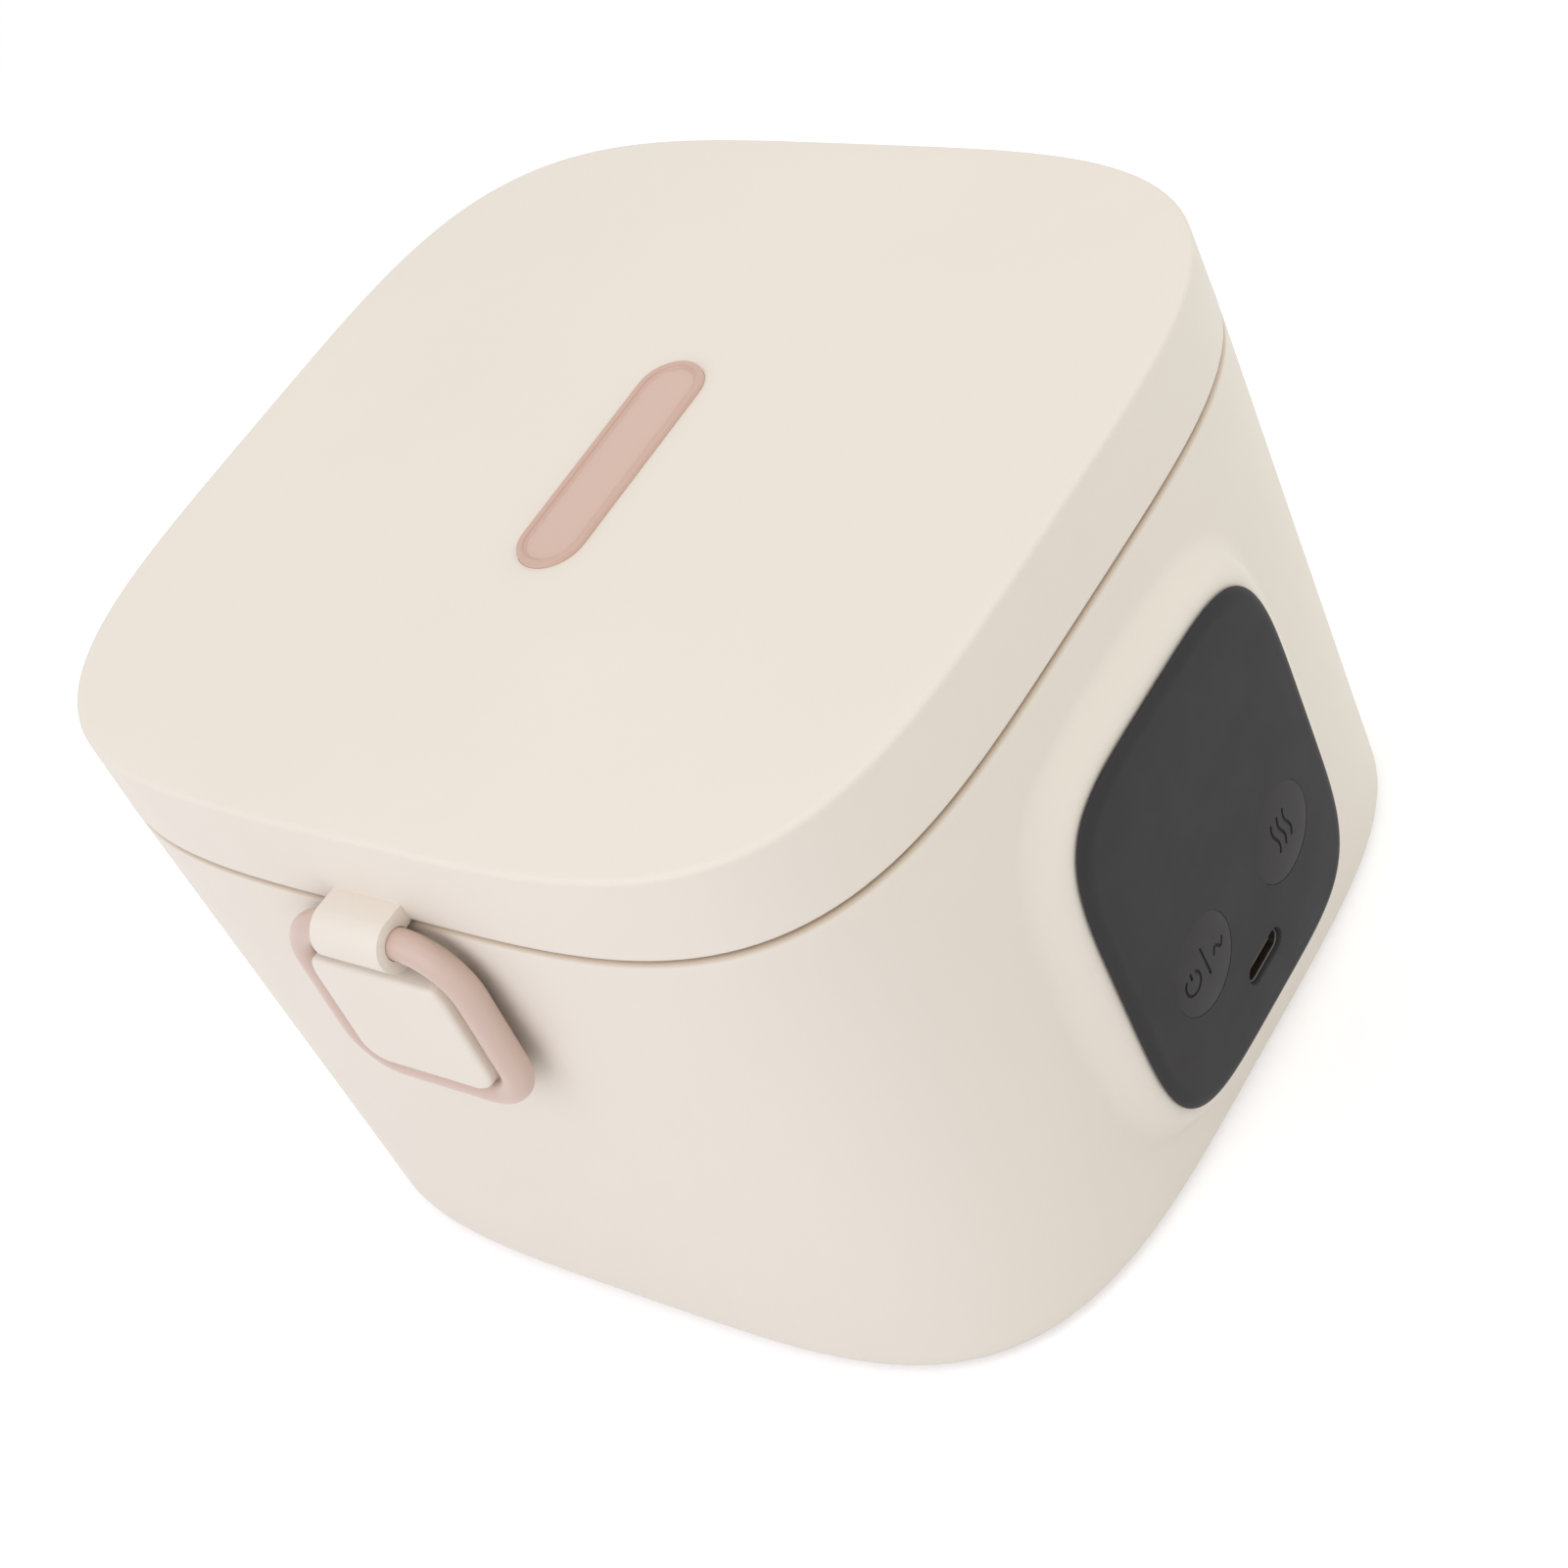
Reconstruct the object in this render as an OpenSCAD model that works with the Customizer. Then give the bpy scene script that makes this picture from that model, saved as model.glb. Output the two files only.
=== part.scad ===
// Electric lunch box: squircle body, hinged lid with a swing latch, and a raised control panel.
// The front, with the panel, faces -Y. The latch is on -X, the hinge on +X, and the feet stand on Z = 0.

/* [Body] */
// Width of the outer shell at the lid seam, left to right
body_w = 136; // [126:1:150]
// Depth of the outer shell at the lid seam, front to back
body_d = 139.5; // [130:0.5:154]
// Height of the outer shell, from its lower edge to the lid seam
shell_h = 88.4; // [84:0.2:110]
// Wall of the outer shell
shell_wall = 2.2; // [1.8:0.1:2.6]
// Exponent of the squircle outline: 2 is an ellipse, and more is squarer
squareness = 4; // [3.6:0.1:4.6]
// How much wider the shell is at its foot than at the seam, on each side
shell_draft = 0.5; // [0:0.1:1]
// Rounding of the shell's lower edge
shell_edge_r = 1.6; // [0.8:0.2:2.4]
// How far the feet hold the shell off the table
foot_stand = 1; // [0.8:0.1:2]

/* [Lid] */
// Height of the lid, from its lower edge to its flat top
lid_h = 14.5; // [13.5:0.5:20]
// Wall of the lid's skirt
lid_wall = 2.2; // [1.8:0.1:2.6]
// Thickness of the lid's top
lid_top_t = 2.4; // [2:0.1:3]
// Rounding of the lid's upper edge
lid_edge_r = 1.2; // [0.6:0.2:2]
// How much narrower the lid is at its top than at the seam, on each side
lid_draft = 0.3; // [0:0.1:0.6]
// Open line between the lid and the shell
seam_gap = 0.5; // [0.3:0.1:0.8]

/* [Badge] */
// Length of the pill-shaped badge on the lid
badge_l = 40; // [30:1:60]
// Width of the badge
badge_w = 10.4; // [8:0.2:16]
// How far the badge's rim stands out of the lid
badge_proud = 0.7; // [0.4:0.1:1.2]
// Depth of the badge's seat in the lid
badge_seat = 0.6; // [0.4:0.1:1]
// Width of the badge's raised rim
badge_rim = 1; // [0.6:0.1:1.5]

/* [Control panel] */
// Width of the panel
panel_w = 53.5; // [50:0.5:60]
// Height of the panel
panel_h = 62.5; // [60:0.5:66]
// Exponent of the panel's outline
panel_squareness = 4.6; // [4:0.1:5.5]
// Thickness of the panel at its middle
panel_t = 1.9; // [1.6:0.1:2.6]
// Rounding of the panel's front edge
panel_edge_r = 1.3; // [0.8:0.1:1.5]
// How far the panel's middle lies below the shell's
panel_drop = 0.9; // [0:0.1:2]
// How far the shell's raised plateau stands out under the panel
plateau_h = 4; // [3.6:0.1:5]
// Width of the plateau's slope round the panel
plateau_slope = 4.6; // [3:0.2:5]
// Wall of the plateau, which is the panel's seat
seat_t = 2; // [1.8:0.1:2.4]

/* [Buttons and socket] */
// Radius of a button's cap
button_r = 7.25; // [6:0.25:8]
// Distance of each button from the panel's centre line
button_x = 11.8; // [11:0.2:13]
// Distance of the buttons below the panel's middle
button_drop = 8.8; // [7:0.2:10]
// Height of a button's dome over the panel
button_dome = 0.45; // [0.3:0.05:0.8]
// How far a button travels
button_travel = 0.5; // [0.3:0.05:0.6]
// Gap round a button's cap
button_gap = 0.15; // [0.1:0.05:0.3]
// Distance of the socket below the panel's middle
socket_drop = 21.3; // [20.5:0.1:22]
// Width of the socket's metal mouth
socket_w = 8.94; // [8.6:0.02:9.2]
// Height of the socket's metal mouth
socket_h = 3.26; // [3:0.02:3.4]
// Thickness of the circuit board
board_t = 1.6; // [1:0.2:1.6]

/* [Latch] */
// Radius of the latch ring's tube
ring_tube_r = 2.2; // [1.8:0.1:2.4]
// Width of the latch ring, between the middles of its side limbs
ring_w = 28.6; // [26:0.2:34]
// Height of the latch ring, from the middle of its bar to the middle of its lower limb
ring_h = 27.8; // [26:0.1:32]
// Radius of the ring's lower corners, along the middle of the tube
ring_low_r = 6.5; // [5:0.5:8]
// Distance of the ring's bar from the shell's wall
bar_off = 3.4; // [3.2:0.1:4.2]
// How far the latch leans out from the wall, in degrees
latch_lean = 2; // [1.5:0.5:4]
// Width of the lid's curled tab
tab_w = 12; // [10:0.5:13]
// Thickness of the curled tab
tab_t = 1.62; // [1.2:0.02:2]
// Radial clearance of the bar in the curl
bar_clear = 0.08; // [0.05:0.01:0.1]
// How far the pad stands in front of the middle of the ring's tube
pad_front = 1.7; // [1.4:0.1:2.2]
// Height of the catch bead on the shell
bead_h = 1.6; // [1.2:0.1:1.8]
// Clearance between the latch's hook and the bead
catch_clear = 0.2; // [0.15:0.05:0.3]

/* [Hinge] */
// Distance of the hinge's axis from the shell's wall
hinge_off = 3.9; // [3.9:0.1:5]
// Radius of the hinge's knuckles
knuckle_r = 3.4; // [3:0.1:3.5]
// Radius of the hinge pin
pin_r = 1.5; // [1.2:0.1:1.8]
// Radial running clearance of the pin in the lid's knuckle
pin_clear = 0.06; // [0.03:0.01:0.1]
// Length of the lid's knuckle
knuckle_l = 24; // [16:1:30]
// Length of each ear on the shell
ear_l = 6; // [4:0.5:8]

/* [Food container] */
// Wall of the food container
container_wall = 0.9; // [0.6:0.1:1.2]
// Wall of the heating well round the container
well_wall = 1; // [0.8:0.1:1.4]
// Gap between the container and the well
container_gap = 0.5; // [0.3:0.1:0.8]
// Depth of the container's rim below the lid seam
container_rim_drop = 5.4; // [5:0.2:7]

/* [Heater] */
// Radius of the heater plate
heater_r = 44; // [36:1:48]
// Thickness of the heater plate
heater_t = 3.2; // [2:0.2:4]
// Thickness of the heating film
film_t = 1.2; // [0.8:0.1:1.6]
// Thickness of the insulation under the heater
base_insulation_t = 10.8; // [10:0.2:14]
// Thickness of the base cover
base_t = 2.4; // [2:0.1:3]
// Radius of a foot
foot_r = 5; // [4:0.5:7]

/* [Hidden] */

shell_color = "#EBE3DA";
liner_color = "#E4DED6";
panel_color = "#484747";
pink_color = "#E3C7BB";
steel_color = "#C9CBCD";
foam_color = "#D8D8D4";

outline_steps = 96;       // points round the body's outline
panel_steps = 64;         // points round the panel's outline
slice_t = 0.1;            // thickness of the slices that a rounded form is drawn over
edge_angles = [0, 45, 90];
bore_fn = 64;
seat_gap = 0.3;           // gap between loose pieces that rest in each other
slip = 0.15;              // gap round a piece that slides in by hand
past = 1;                 // how far a cut runs past the face that it opens

half_w = body_w / 2;
half_d = body_d / 2;
seam_z = foot_stand + shell_h;
lid_edge_z = seam_z + seam_gap;
lid_top_z = lid_edge_z + lid_h;

// The panel stands out at the front only, so the body's own middle lies behind the origin.
front_reach = plateau_h + panel_t + button_dome;
body_y = (front_reach - shell_draft) / 2;

// The base, from the table up.
base_inset = shell_wall + seat_gap;
base_z = foot_stand + 0.4;
base_top_z = base_z + base_t;
film_z = base_top_z + base_insulation_t;
heater_z = film_z + film_t;
well_floor_z = heater_z + heater_t;

// The rim, from the seam down.
tongue_h = 2;             // the rim ring's lip inside the lid
tongue_t = 1.5;
tongue_inset = shell_wall + 0.7;
rim_wall_t = 2.65;
rim_block_h = 3.6;
flange_t = 1;
container_flange_z = seam_z - container_rim_drop - flange_t;
rim_z = container_flange_z - rim_block_h;
ledge_t = 2;
ledge_z = rim_z - well_wall - ledge_t;
sleeve_gap = 0.8;
sleeve_t = 3.6;
well_inset = shell_wall + sleeve_gap + sleeve_t + 0.6;
container_inset = well_inset + well_wall + container_gap;
cup_inset = container_inset + container_wall;
rim_inset = shell_wall + slip;
rim_wall_inset = rim_inset + rim_wall_t;
flange_inset = rim_wall_inset + 0.4;

// The lid's inside.
liner_t = 1.6;
liner_z = seam_z - 1.5;
liner_flange_z = seam_z + tongue_h + 1;
liner_inset = tongue_inset + tongue_t + 1.2;
roof_z = lid_top_z - lid_top_t;
gasket_inset = liner_inset + 0.6;
gasket_w = 2.6;
clip_l = 24;              // length of the ledges that hold the liner

// The front: the panel and the pieces behind it.
panel_z = foot_stand + shell_h / 2 - panel_drop;
pocket_inset = 2.3;
flange_r = button_r + 0.95;
cap_flange_t = 0.8;
board_front = plateau_h - seat_t - 4.55;      // how far the board's front face stands out of the wall
can_h = 3.2;
plunger_r = 1.6;
plunger_reach = 1.2;
board_screw_r = 0.9;
board_screw_bite = 3.5;    // how far a board screw goes into its post
button_z = panel_z - button_drop;
socket_z = panel_z - socket_drop;
board_top_z = button_z + 11;
board_low_z = socket_z - 4.6;
board_half_w = panel_w / 2 - pocket_inset - 1.6;
board_screw_x = board_half_w - 2.9;
board_screw_zs = [board_low_z + 3.4, board_top_z - 3.4];
lead_r = 0.7;
lead_x = 4;
lead_y = half_d - (well_inset + (shell_wall - 0.9)) / 2 - 1.1;
lead_top_z = board_low_z + 7;
lead_low_z = base_top_z + 6;
lead_end_y = heater_r - 10;
lead_slot_w = 12;
base_insulation_r = heater_r + 2;

// The latch, about the bar that it swings on.
bar_z = seam_z;
curl_r = ring_tube_r + bar_clear + tab_t;
pad_gap = 1;
ring_top_r = ring_w / 2 - tab_w / 2 - 0.1;    // the ring's upper corners take all that the tab leaves
tab_top_z = lid_edge_z + 3.2;
pad_top = curl_r + pad_gap;
pad_low = ring_h - ring_tube_r - pad_gap;
pad_back = 0.9;
pad_flange_t = 1.2;
pad_edge = 0.4;           // step that stands for the pad's soft front edge
hook_h = 1.8;
hook_drop = pad_low - 2.6;
hook_reach = bar_off + hook_drop * sin(latch_lean) - bead_h - catch_clear;
bead_w = 12;
bead_z = bar_z - (hook_drop - hook_h) * cos(latch_lean) + 0.5;

// The hinge.
hinge_x = half_w + hinge_off;
hinge_z = seam_z + seam_gap / 2;
ear_gap = 0.3;

// The base's fasteners and feet.
boss_in = 18.5;           // distance of a screw post from the shell's wall
boss_x = half_w - boss_in;
boss_y = half_d - boss_in;
boss_r = 3.6;
boss_top_z = well_floor_z - 1.2;
base_screw_r = 1.25;
base_head_r = 2.7;
base_screw_l = 9.5;
cross_l = 3;              // length of the driver's cross in a screw head
cross_t = 0.6;
sensor_post_h = 4;        // height of the base cover's post under the sensor
foot_in = 28;
foot_x = half_w - foot_in;
foot_y = half_d - foot_in;
foot_seat = 0.8;
sensor_r = 5.5;
fuse_r = 2;
fuse_l = 14;
fuse_y = -22;

// Points of a squircle with half sizes hx and hy.
function squircle(hx, hy, exponent, steps) =
  [for (i = [0:steps - 1])
    let (c = cos(360 * i / steps), s = sin(360 * i / steps))
    [hx * sign(c) * pow(abs(c), 2 / exponent), hy * sign(s) * pow(abs(s), 2 / exponent)]];

module body_frame() {
  translate([0, body_y, 0]) children();
}

module body_outline(inset) {
  polygon(squircle(half_w - inset, half_d - inset, squareness, outline_steps));
}

module slab(inset, z, h) {
  translate([0, 0, z]) linear_extrude(h) body_outline(inset);
}

module band(inset_out, inset_in, z, h) {
  difference() {
    slab(inset_out, z, h);
    slab(inset_in, z - past, h + 2 * past);
  }
}

// A block on the body's outline, with a slope between its ends and a round edge at each.
module soft_block(inset_low, inset_high, z_low, z_high, r_low, r_high) {
  hull() {
    for (a = edge_angles) {
      slab(inset_low + r_low * (1 - cos(a)), z_low + r_low * (1 - sin(a)), slice_t);
      slab(inset_high + r_high * (1 - cos(a)), z_high - slice_t - r_high * (1 - sin(a)), slice_t);
    }
  }
}

// Draws its child on the front wall, out of the wall by s, with its Y along the body's Z.
module on_front(s) {
  translate([0, -(half_d + s), 0]) rotate([90, 0, 0]) children();
}

module panel_outline(inset) {
  translate([0, panel_z])
    polygon(squircle(panel_w / 2 - inset, panel_h / 2 - inset, panel_squareness, panel_steps));
}

module panel_slice(inset, s) {
  on_front(s) linear_extrude(slice_t) panel_outline(inset);
}

module stadium(w, h) {
  for (side = [-1, 1]) translate([side * (w - h) / 2, 0]) circle(d = h, $fn = bore_fn);
  square([w - h, h], center = true);
}

module front_hole(x, z, r, s, depth) {
  on_front(s - depth) translate([x, z, 0]) cylinder(r = r, h = depth, $fn = bore_fn);
}

// ---- The outer shell ----

module plateau() {
  hull() {
    panel_slice(-plateau_slope - 1.2, -1.7);
    panel_slice(-plateau_slope * 0.72, plateau_h * 0.4);
    panel_slice(-plateau_slope * 0.36, plateau_h * 0.8 - slice_t);
    panel_slice(-plateau_slope * 0.14, plateau_h - slice_t);
  }
}

module plateau_pocket() {
  on_front(-shell_wall - 4) linear_extrude(plateau_h - seat_t + shell_wall + 4) panel_outline(pocket_inset);
}

// Posts on the back of the seat wall, which the circuit board is screwed to.
module board_bosses() {
  for (x = [-board_screw_x, board_screw_x], z = board_screw_zs)
    front_hole(x, z, 2.6, plateau_h - seat_t / 2, plateau_h - seat_t / 2 - board_front);
}

module ear_profile() {
  translate([hinge_x, hinge_z]) circle(r = knuckle_r, $fn = bore_fn);
  polygon([
    [half_w - shell_wall / 2, seam_z - 10],
    [half_w - shell_wall / 2, seam_z - 0.1],
    [hinge_x, seam_z - 0.1],
    [hinge_x + knuckle_r * cos(15), hinge_z - knuckle_r * sin(15)],
    [half_w + 1.6, seam_z - 10]
  ]);
}

module hinge_ears() {
  for (y = [-knuckle_l / 2 - ear_gap - ear_l, knuckle_l / 2 + ear_gap])
    translate([0, y + ear_l, 0]) rotate([90, 0, 0]) linear_extrude(ear_l) ear_profile();
}

module along_y(x, z, r, l) {
  translate([x, l / 2, z]) rotate([90, 0, 0]) cylinder(r = r, h = l, $fn = bore_fn);
}

module catch_bead() {
  translate([-half_w, bead_w / 2, 0]) rotate([90, 0, 0]) linear_extrude(bead_w)
    polygon([
      [shell_wall / 2, bead_z],
      [-bead_h, bead_z],
      [-bead_h, bead_z + 0.5],
      [0, bead_z + 2.6],
      [shell_wall / 2, bead_z + 2.6]
    ]);
}

// A screw post in each corner, with a web to the wall behind it.
module base_bosses() {
  for (sx = [-1, 1], sy = [-1, 1])
    translate([sx * boss_x, sy * boss_y, base_top_z]) {
      cylinder(r = boss_r, h = boss_top_z - base_top_z, $fn = bore_fn);
      rotate([0, 0, atan2(sy, sx)]) translate([0, -1, 0])
        cube([11, 2, boss_top_z - base_top_z]);
    }
}

module outer_shell() {
  body_frame() color(shell_color) difference() {
    union() {
      difference() {
        union() {
          soft_block(-shell_draft, 0, foot_stand, seam_z, shell_edge_r, 0);
          plateau();
        }
        slab(shell_wall, foot_stand - past, shell_h + 2 * past);
        plateau_pocket();
      }
      band(shell_wall - 0.4, well_inset - 0.8, ledge_z, ledge_t);
      intersection() {
        base_bosses();
        slab(shell_wall - 0.4, base_top_z, shell_h / 2);
      }
      hinge_ears();
      catch_bead();
      board_bosses();
    }
    for (x = [-board_screw_x, board_screw_x], z = board_screw_zs)
      front_hole(x, z, board_screw_r, plateau_h - seat_t, plateau_h - seat_t - board_front + past);
    along_y(hinge_x, hinge_z, pin_r + 0.02, knuckle_l + 4 * ear_l);
    for (x = [-button_x, button_x]) front_hole(x, button_z, flange_r + 0.4, plateau_h + past, seat_t + 2 * past);
    on_front(plateau_h - seat_t - past) linear_extrude(seat_t + 2 * past)
      translate([0, socket_z]) stadium(socket_w + 0.6, socket_h + 0.6);
    for (sx = [-1, 1], sy = [-1, 1])
      translate([sx * boss_x, sy * boss_y, base_top_z - past]) cylinder(r = base_screw_r, h = base_screw_l + 0.5, $fn = bore_fn);
  }
}

// ---- Inside the body ----

module rim_ring() {
  body_frame() color(liner_color) difference() {
    union() {
      slab(rim_inset, rim_z, seam_z - 0.5 - rim_z);
      slab(tongue_inset, seam_z - 1, 1 + tongue_h);
    }
    slab(container_inset - 0.4, rim_z - past, shell_h);
    slab(rim_wall_inset, container_flange_z, shell_h);
    slab(tongue_inset + tongue_t, seam_z - 0.5, shell_h);
  }
}

module heating_well() {
  body_frame() color(steel_color) difference() {
    union() {
      slab(well_inset, well_floor_z, rim_z - well_floor_z);
      slab(rim_inset + 0.4, rim_z - well_wall, well_wall);
    }
    slab(well_inset + well_wall, well_floor_z + well_wall, shell_h);
  }
}

module food_container() {
  body_frame() color("#D5D7D8") difference() {
    union() {
      soft_block(container_inset, container_inset, well_floor_z + well_wall + seat_gap,
        container_flange_z + flange_t, 2, 0);
      slab(flange_inset, container_flange_z, flange_t);
    }
    slab(cup_inset, well_floor_z + well_wall + seat_gap + container_wall, shell_h);
  }
}

module insulation_sleeve() {
  sleeve_z = boss_top_z + seat_gap;
  body_frame() color(foam_color) difference() {
    band(shell_wall + sleeve_gap, shell_wall + sleeve_gap + sleeve_t, sleeve_z, ledge_z - seat_gap - sleeve_z);
    translate([-panel_w / 2, -body_d, 0]) cube([panel_w, body_d, seam_z]);
  }
}

module heater_plate() {
  body_frame() color("silver") translate([0, 0, heater_z]) difference() {
    cylinder(r = heater_r, h = heater_t, $fn = 96);
    translate([0, 0, -past]) cylinder(r = sensor_r + 1.2, h = heater_t + 2 * past, $fn = bore_fn);
  }
}

module heating_film() {
  body_frame() color("#B58B5A") translate([0, 0, film_z]) difference() {
    cylinder(r = heater_r - 2, h = film_t, $fn = 96);
    translate([0, 0, -past]) cylinder(r = sensor_r + 1.2, h = film_t + 2 * past, $fn = bore_fn);
  }
}

module temperature_sensor() {
  seat_z = base_top_z + sensor_post_h;
  body_frame() color("#9A9C9E") {
    translate([0, 0, seat_z]) cylinder(r = sensor_r, h = well_floor_z - 1.5 - seat_z, $fn = bore_fn);
    translate([0, 0, seat_z]) cylinder(r = sensor_r - 1.5, h = well_floor_z - seat_z, $fn = bore_fn);
  }
}

module thermal_fuse() {
  body_frame() color("#EDE9DF") translate([-fuse_l / 2, fuse_y, film_z - fuse_r])
    rotate([0, 90, 0]) cylinder(r = fuse_r, h = fuse_l, $fn = bore_fn);
}

// Two wires from the board, down behind it and under the heater to the film's terminals.
module heater_leads() {
  body_frame() color("#C24A3A") for (x = [-lead_x, lead_x]) {
    translate([x, -lead_y, lead_low_z]) cylinder(r = lead_r, h = lead_top_z - lead_low_z, $fn = 24);
    translate([x, -lead_y, lead_top_z]) sphere(r = lead_r, $fn = 24);
    translate([x, -lead_y, lead_top_z]) rotate([90, 0, 0])
      cylinder(r = lead_r, h = half_d + board_front - board_t - lead_y, $fn = 24);
    translate([x, -lead_y, lead_low_z]) sphere(r = lead_r, $fn = 24);
    translate([x, -lead_end_y, lead_low_z]) rotate([90, 0, 0])
      cylinder(r = lead_r, h = lead_y - lead_end_y, $fn = 24);
    translate([x, -lead_end_y, lead_low_z]) sphere(r = lead_r, $fn = 24);
    translate([x, -lead_end_y, lead_low_z]) cylinder(r = lead_r, h = film_z - lead_low_z, $fn = 24);
  }
}

module base_insulation() {
  body_frame() color(foam_color) difference() {
    translate([0, 0, base_top_z]) cylinder(r = base_insulation_r, h = base_insulation_t, $fn = 96);
    translate([0, 0, base_top_z - past]) cylinder(r = sensor_r + 1.5, h = base_insulation_t + 2 * past, $fn = bore_fn);
    translate([-lead_slot_w / 2, -base_insulation_r - past, lead_low_z - 1.5])
      cube([lead_slot_w, base_insulation_r + past - lead_end_y + 2, base_insulation_t]);
    translate([-fuse_l / 2 - 1, fuse_y - fuse_r - 0.3, film_z - 2 * fuse_r - 0.3])
      cube([fuse_l + 2, 2 * fuse_r + 0.6, 2 * fuse_r + 1]);
  }
}

module base_cover() {
  body_frame() color(shell_color) difference() {
    union() {
      slab(base_inset, base_z, base_t);
      translate([0, 0, base_top_z]) cylinder(r = sensor_r - 0.5, h = sensor_post_h, $fn = bore_fn);
    }
    for (sx = [-1, 1], sy = [-1, 1]) {
      translate([sx * foot_x, sy * foot_y, base_z - past]) cylinder(r = foot_r + 0.1, h = foot_seat + past, $fn = bore_fn);
      translate([sx * boss_x, sy * boss_y, base_z - past]) {
        cylinder(r = base_screw_r + 0.2, h = base_t + 2 * past, $fn = bore_fn);
        cylinder(r = base_head_r + 0.3, h = 1.2 + past, $fn = bore_fn);
      }
    }
  }
}

module base_screws() {
  body_frame() color(steel_color) for (sx = [-1, 1], sy = [-1, 1])
    translate([sx * boss_x, sy * boss_y, base_z + 0.1]) difference() {
      union() {
        cylinder(r = base_head_r, h = 1.1, $fn = bore_fn);
        cylinder(r = base_screw_r, h = base_screw_l, $fn = bore_fn);
      }
      for (turn = [0, 90]) rotate([0, 0, turn]) translate([-cross_l / 2, -cross_t / 2, -past]) cube([cross_l, cross_t, past + cross_t]);
    }
}

module foot(sx, sy) {
  body_frame() color("#55524E") translate([sx * foot_x, sy * foot_y, 0]) rotate_extrude($fn = bore_fn)
    polygon([[0, 0], [foot_r - 0.6, 0], [foot_r, 0.6], [foot_r, base_z + foot_seat], [0, base_z + foot_seat]]);
}

// ---- The control panel and what it works ----

module control_board() {
  body_frame() color("#2F6B4A") difference() {
    on_front(board_front - board_t) linear_extrude(board_t)
      translate([-board_half_w, board_low_z]) square([2 * board_half_w, board_top_z - board_low_z]);
    for (x = [-board_screw_x, board_screw_x], z = board_screw_zs)
      front_hole(x, z, board_screw_r + 0.2, board_front + past, board_t + 2 * past);
  }
}

module board_screws() {
  body_frame() color(steel_color) for (x = [-board_screw_x, board_screw_x], z = board_screw_zs) {
    front_hole(x, z, board_screw_r, board_front + board_screw_bite, board_t + board_screw_bite);
    front_hole(x, z, 1.8, board_front - board_t, 1.1);
  }
}

module usb_socket() {
  mouth = plateau_h + panel_t - 0.35;
  body_frame() color(steel_color) difference() {
    on_front(board_front) linear_extrude(mouth - board_front)
      translate([0, socket_z]) stadium(socket_w, socket_h);
    on_front(board_front + 0.8) linear_extrude(mouth - board_front)
      translate([0, socket_z]) stadium(socket_w - 0.6, socket_h - 0.6);
  }
}

module usb_tongue() {
  body_frame() color("#8A6A4B") on_front(board_front + 0.8)
    linear_extrude(plateau_h + panel_t - 1.2 - board_front - 0.8)
      translate([0, socket_z]) square([socket_w - 2.2, 0.7], center = true);
}

module tact_switch(x) {
  body_frame() color("#3B3B3D") difference() {
    on_front(board_front) linear_extrude(can_h) translate([x, button_z]) square(6, center = true);
    front_hole(x, button_z, plunger_r + 0.1, board_front + can_h + past, can_h - 0.9 + past);
  }
}

module switch_plunger(x) {
  body_frame() color("#B9B3A8")
    front_hole(x, button_z, plunger_r, board_front + can_h + plunger_reach, can_h + plunger_reach - 0.9 - button_travel - 0.1);
}

module control_panel() {
  body_frame() color(panel_color) difference() {
    hull() {
      panel_slice(0, plateau_h);
      for (a = edge_angles)
        panel_slice(panel_edge_r * (1 - cos(a)), plateau_h + panel_t - 0.3 - slice_t - panel_edge_r * (1 - sin(a)));
      panel_slice(panel_w * 0.16, plateau_h + panel_t - slice_t);
    }
    for (x = [-button_x, button_x])
      front_hole(x, button_z, button_r + button_gap, plateau_h + panel_t + past, panel_t + 2 * past);
    on_front(plateau_h - past) linear_extrude(panel_t + 2 * past)
      translate([0, socket_z]) stadium(socket_w + 0.3, socket_h + 0.3);
  }
}

// A domed cap, held behind the panel by its flange, with a stem to the switch.
module button(x) {
  face = plateau_h + panel_t + button_dome;
  dome_r = (pow(button_r, 2) + pow(button_dome + 0.3, 2)) / (2 * (button_dome + 0.3));
  flange_front = plateau_h - 0.15;
  stem_tip = board_front + can_h + plunger_reach;
  body_frame() color(panel_color) {
    intersection() {
      front_hole(x, button_z, button_r, face, face - flange_front + 0.4);
      on_front(face - dome_r) translate([x, button_z, 0]) sphere(r = dome_r, $fn = 96);
    }
    front_hole(x, button_z, flange_r, flange_front, cap_flange_t);
    front_hole(x, button_z, plunger_r, flange_front - cap_flange_t, flange_front - cap_flange_t - stem_tip);
  }
}

// ---- The lid ----

module hinge_pin() {
  l = knuckle_l + 2 * ear_gap + 2 * ear_l;
  body_frame() color(steel_color) {
    along_y(hinge_x, hinge_z, pin_r, l + 0.6);
    translate([hinge_x, l / 2 + 0.8, hinge_z]) rotate([90, 0, 0]) cylinder(r = pin_r + 0.7, h = 0.8, $fn = bore_fn);
    translate([hinge_x, -l / 2, hinge_z]) rotate([90, 0, 0]) cylinder(r = pin_r + 0.7, h = 0.8, $fn = bore_fn);
  }
}

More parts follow.
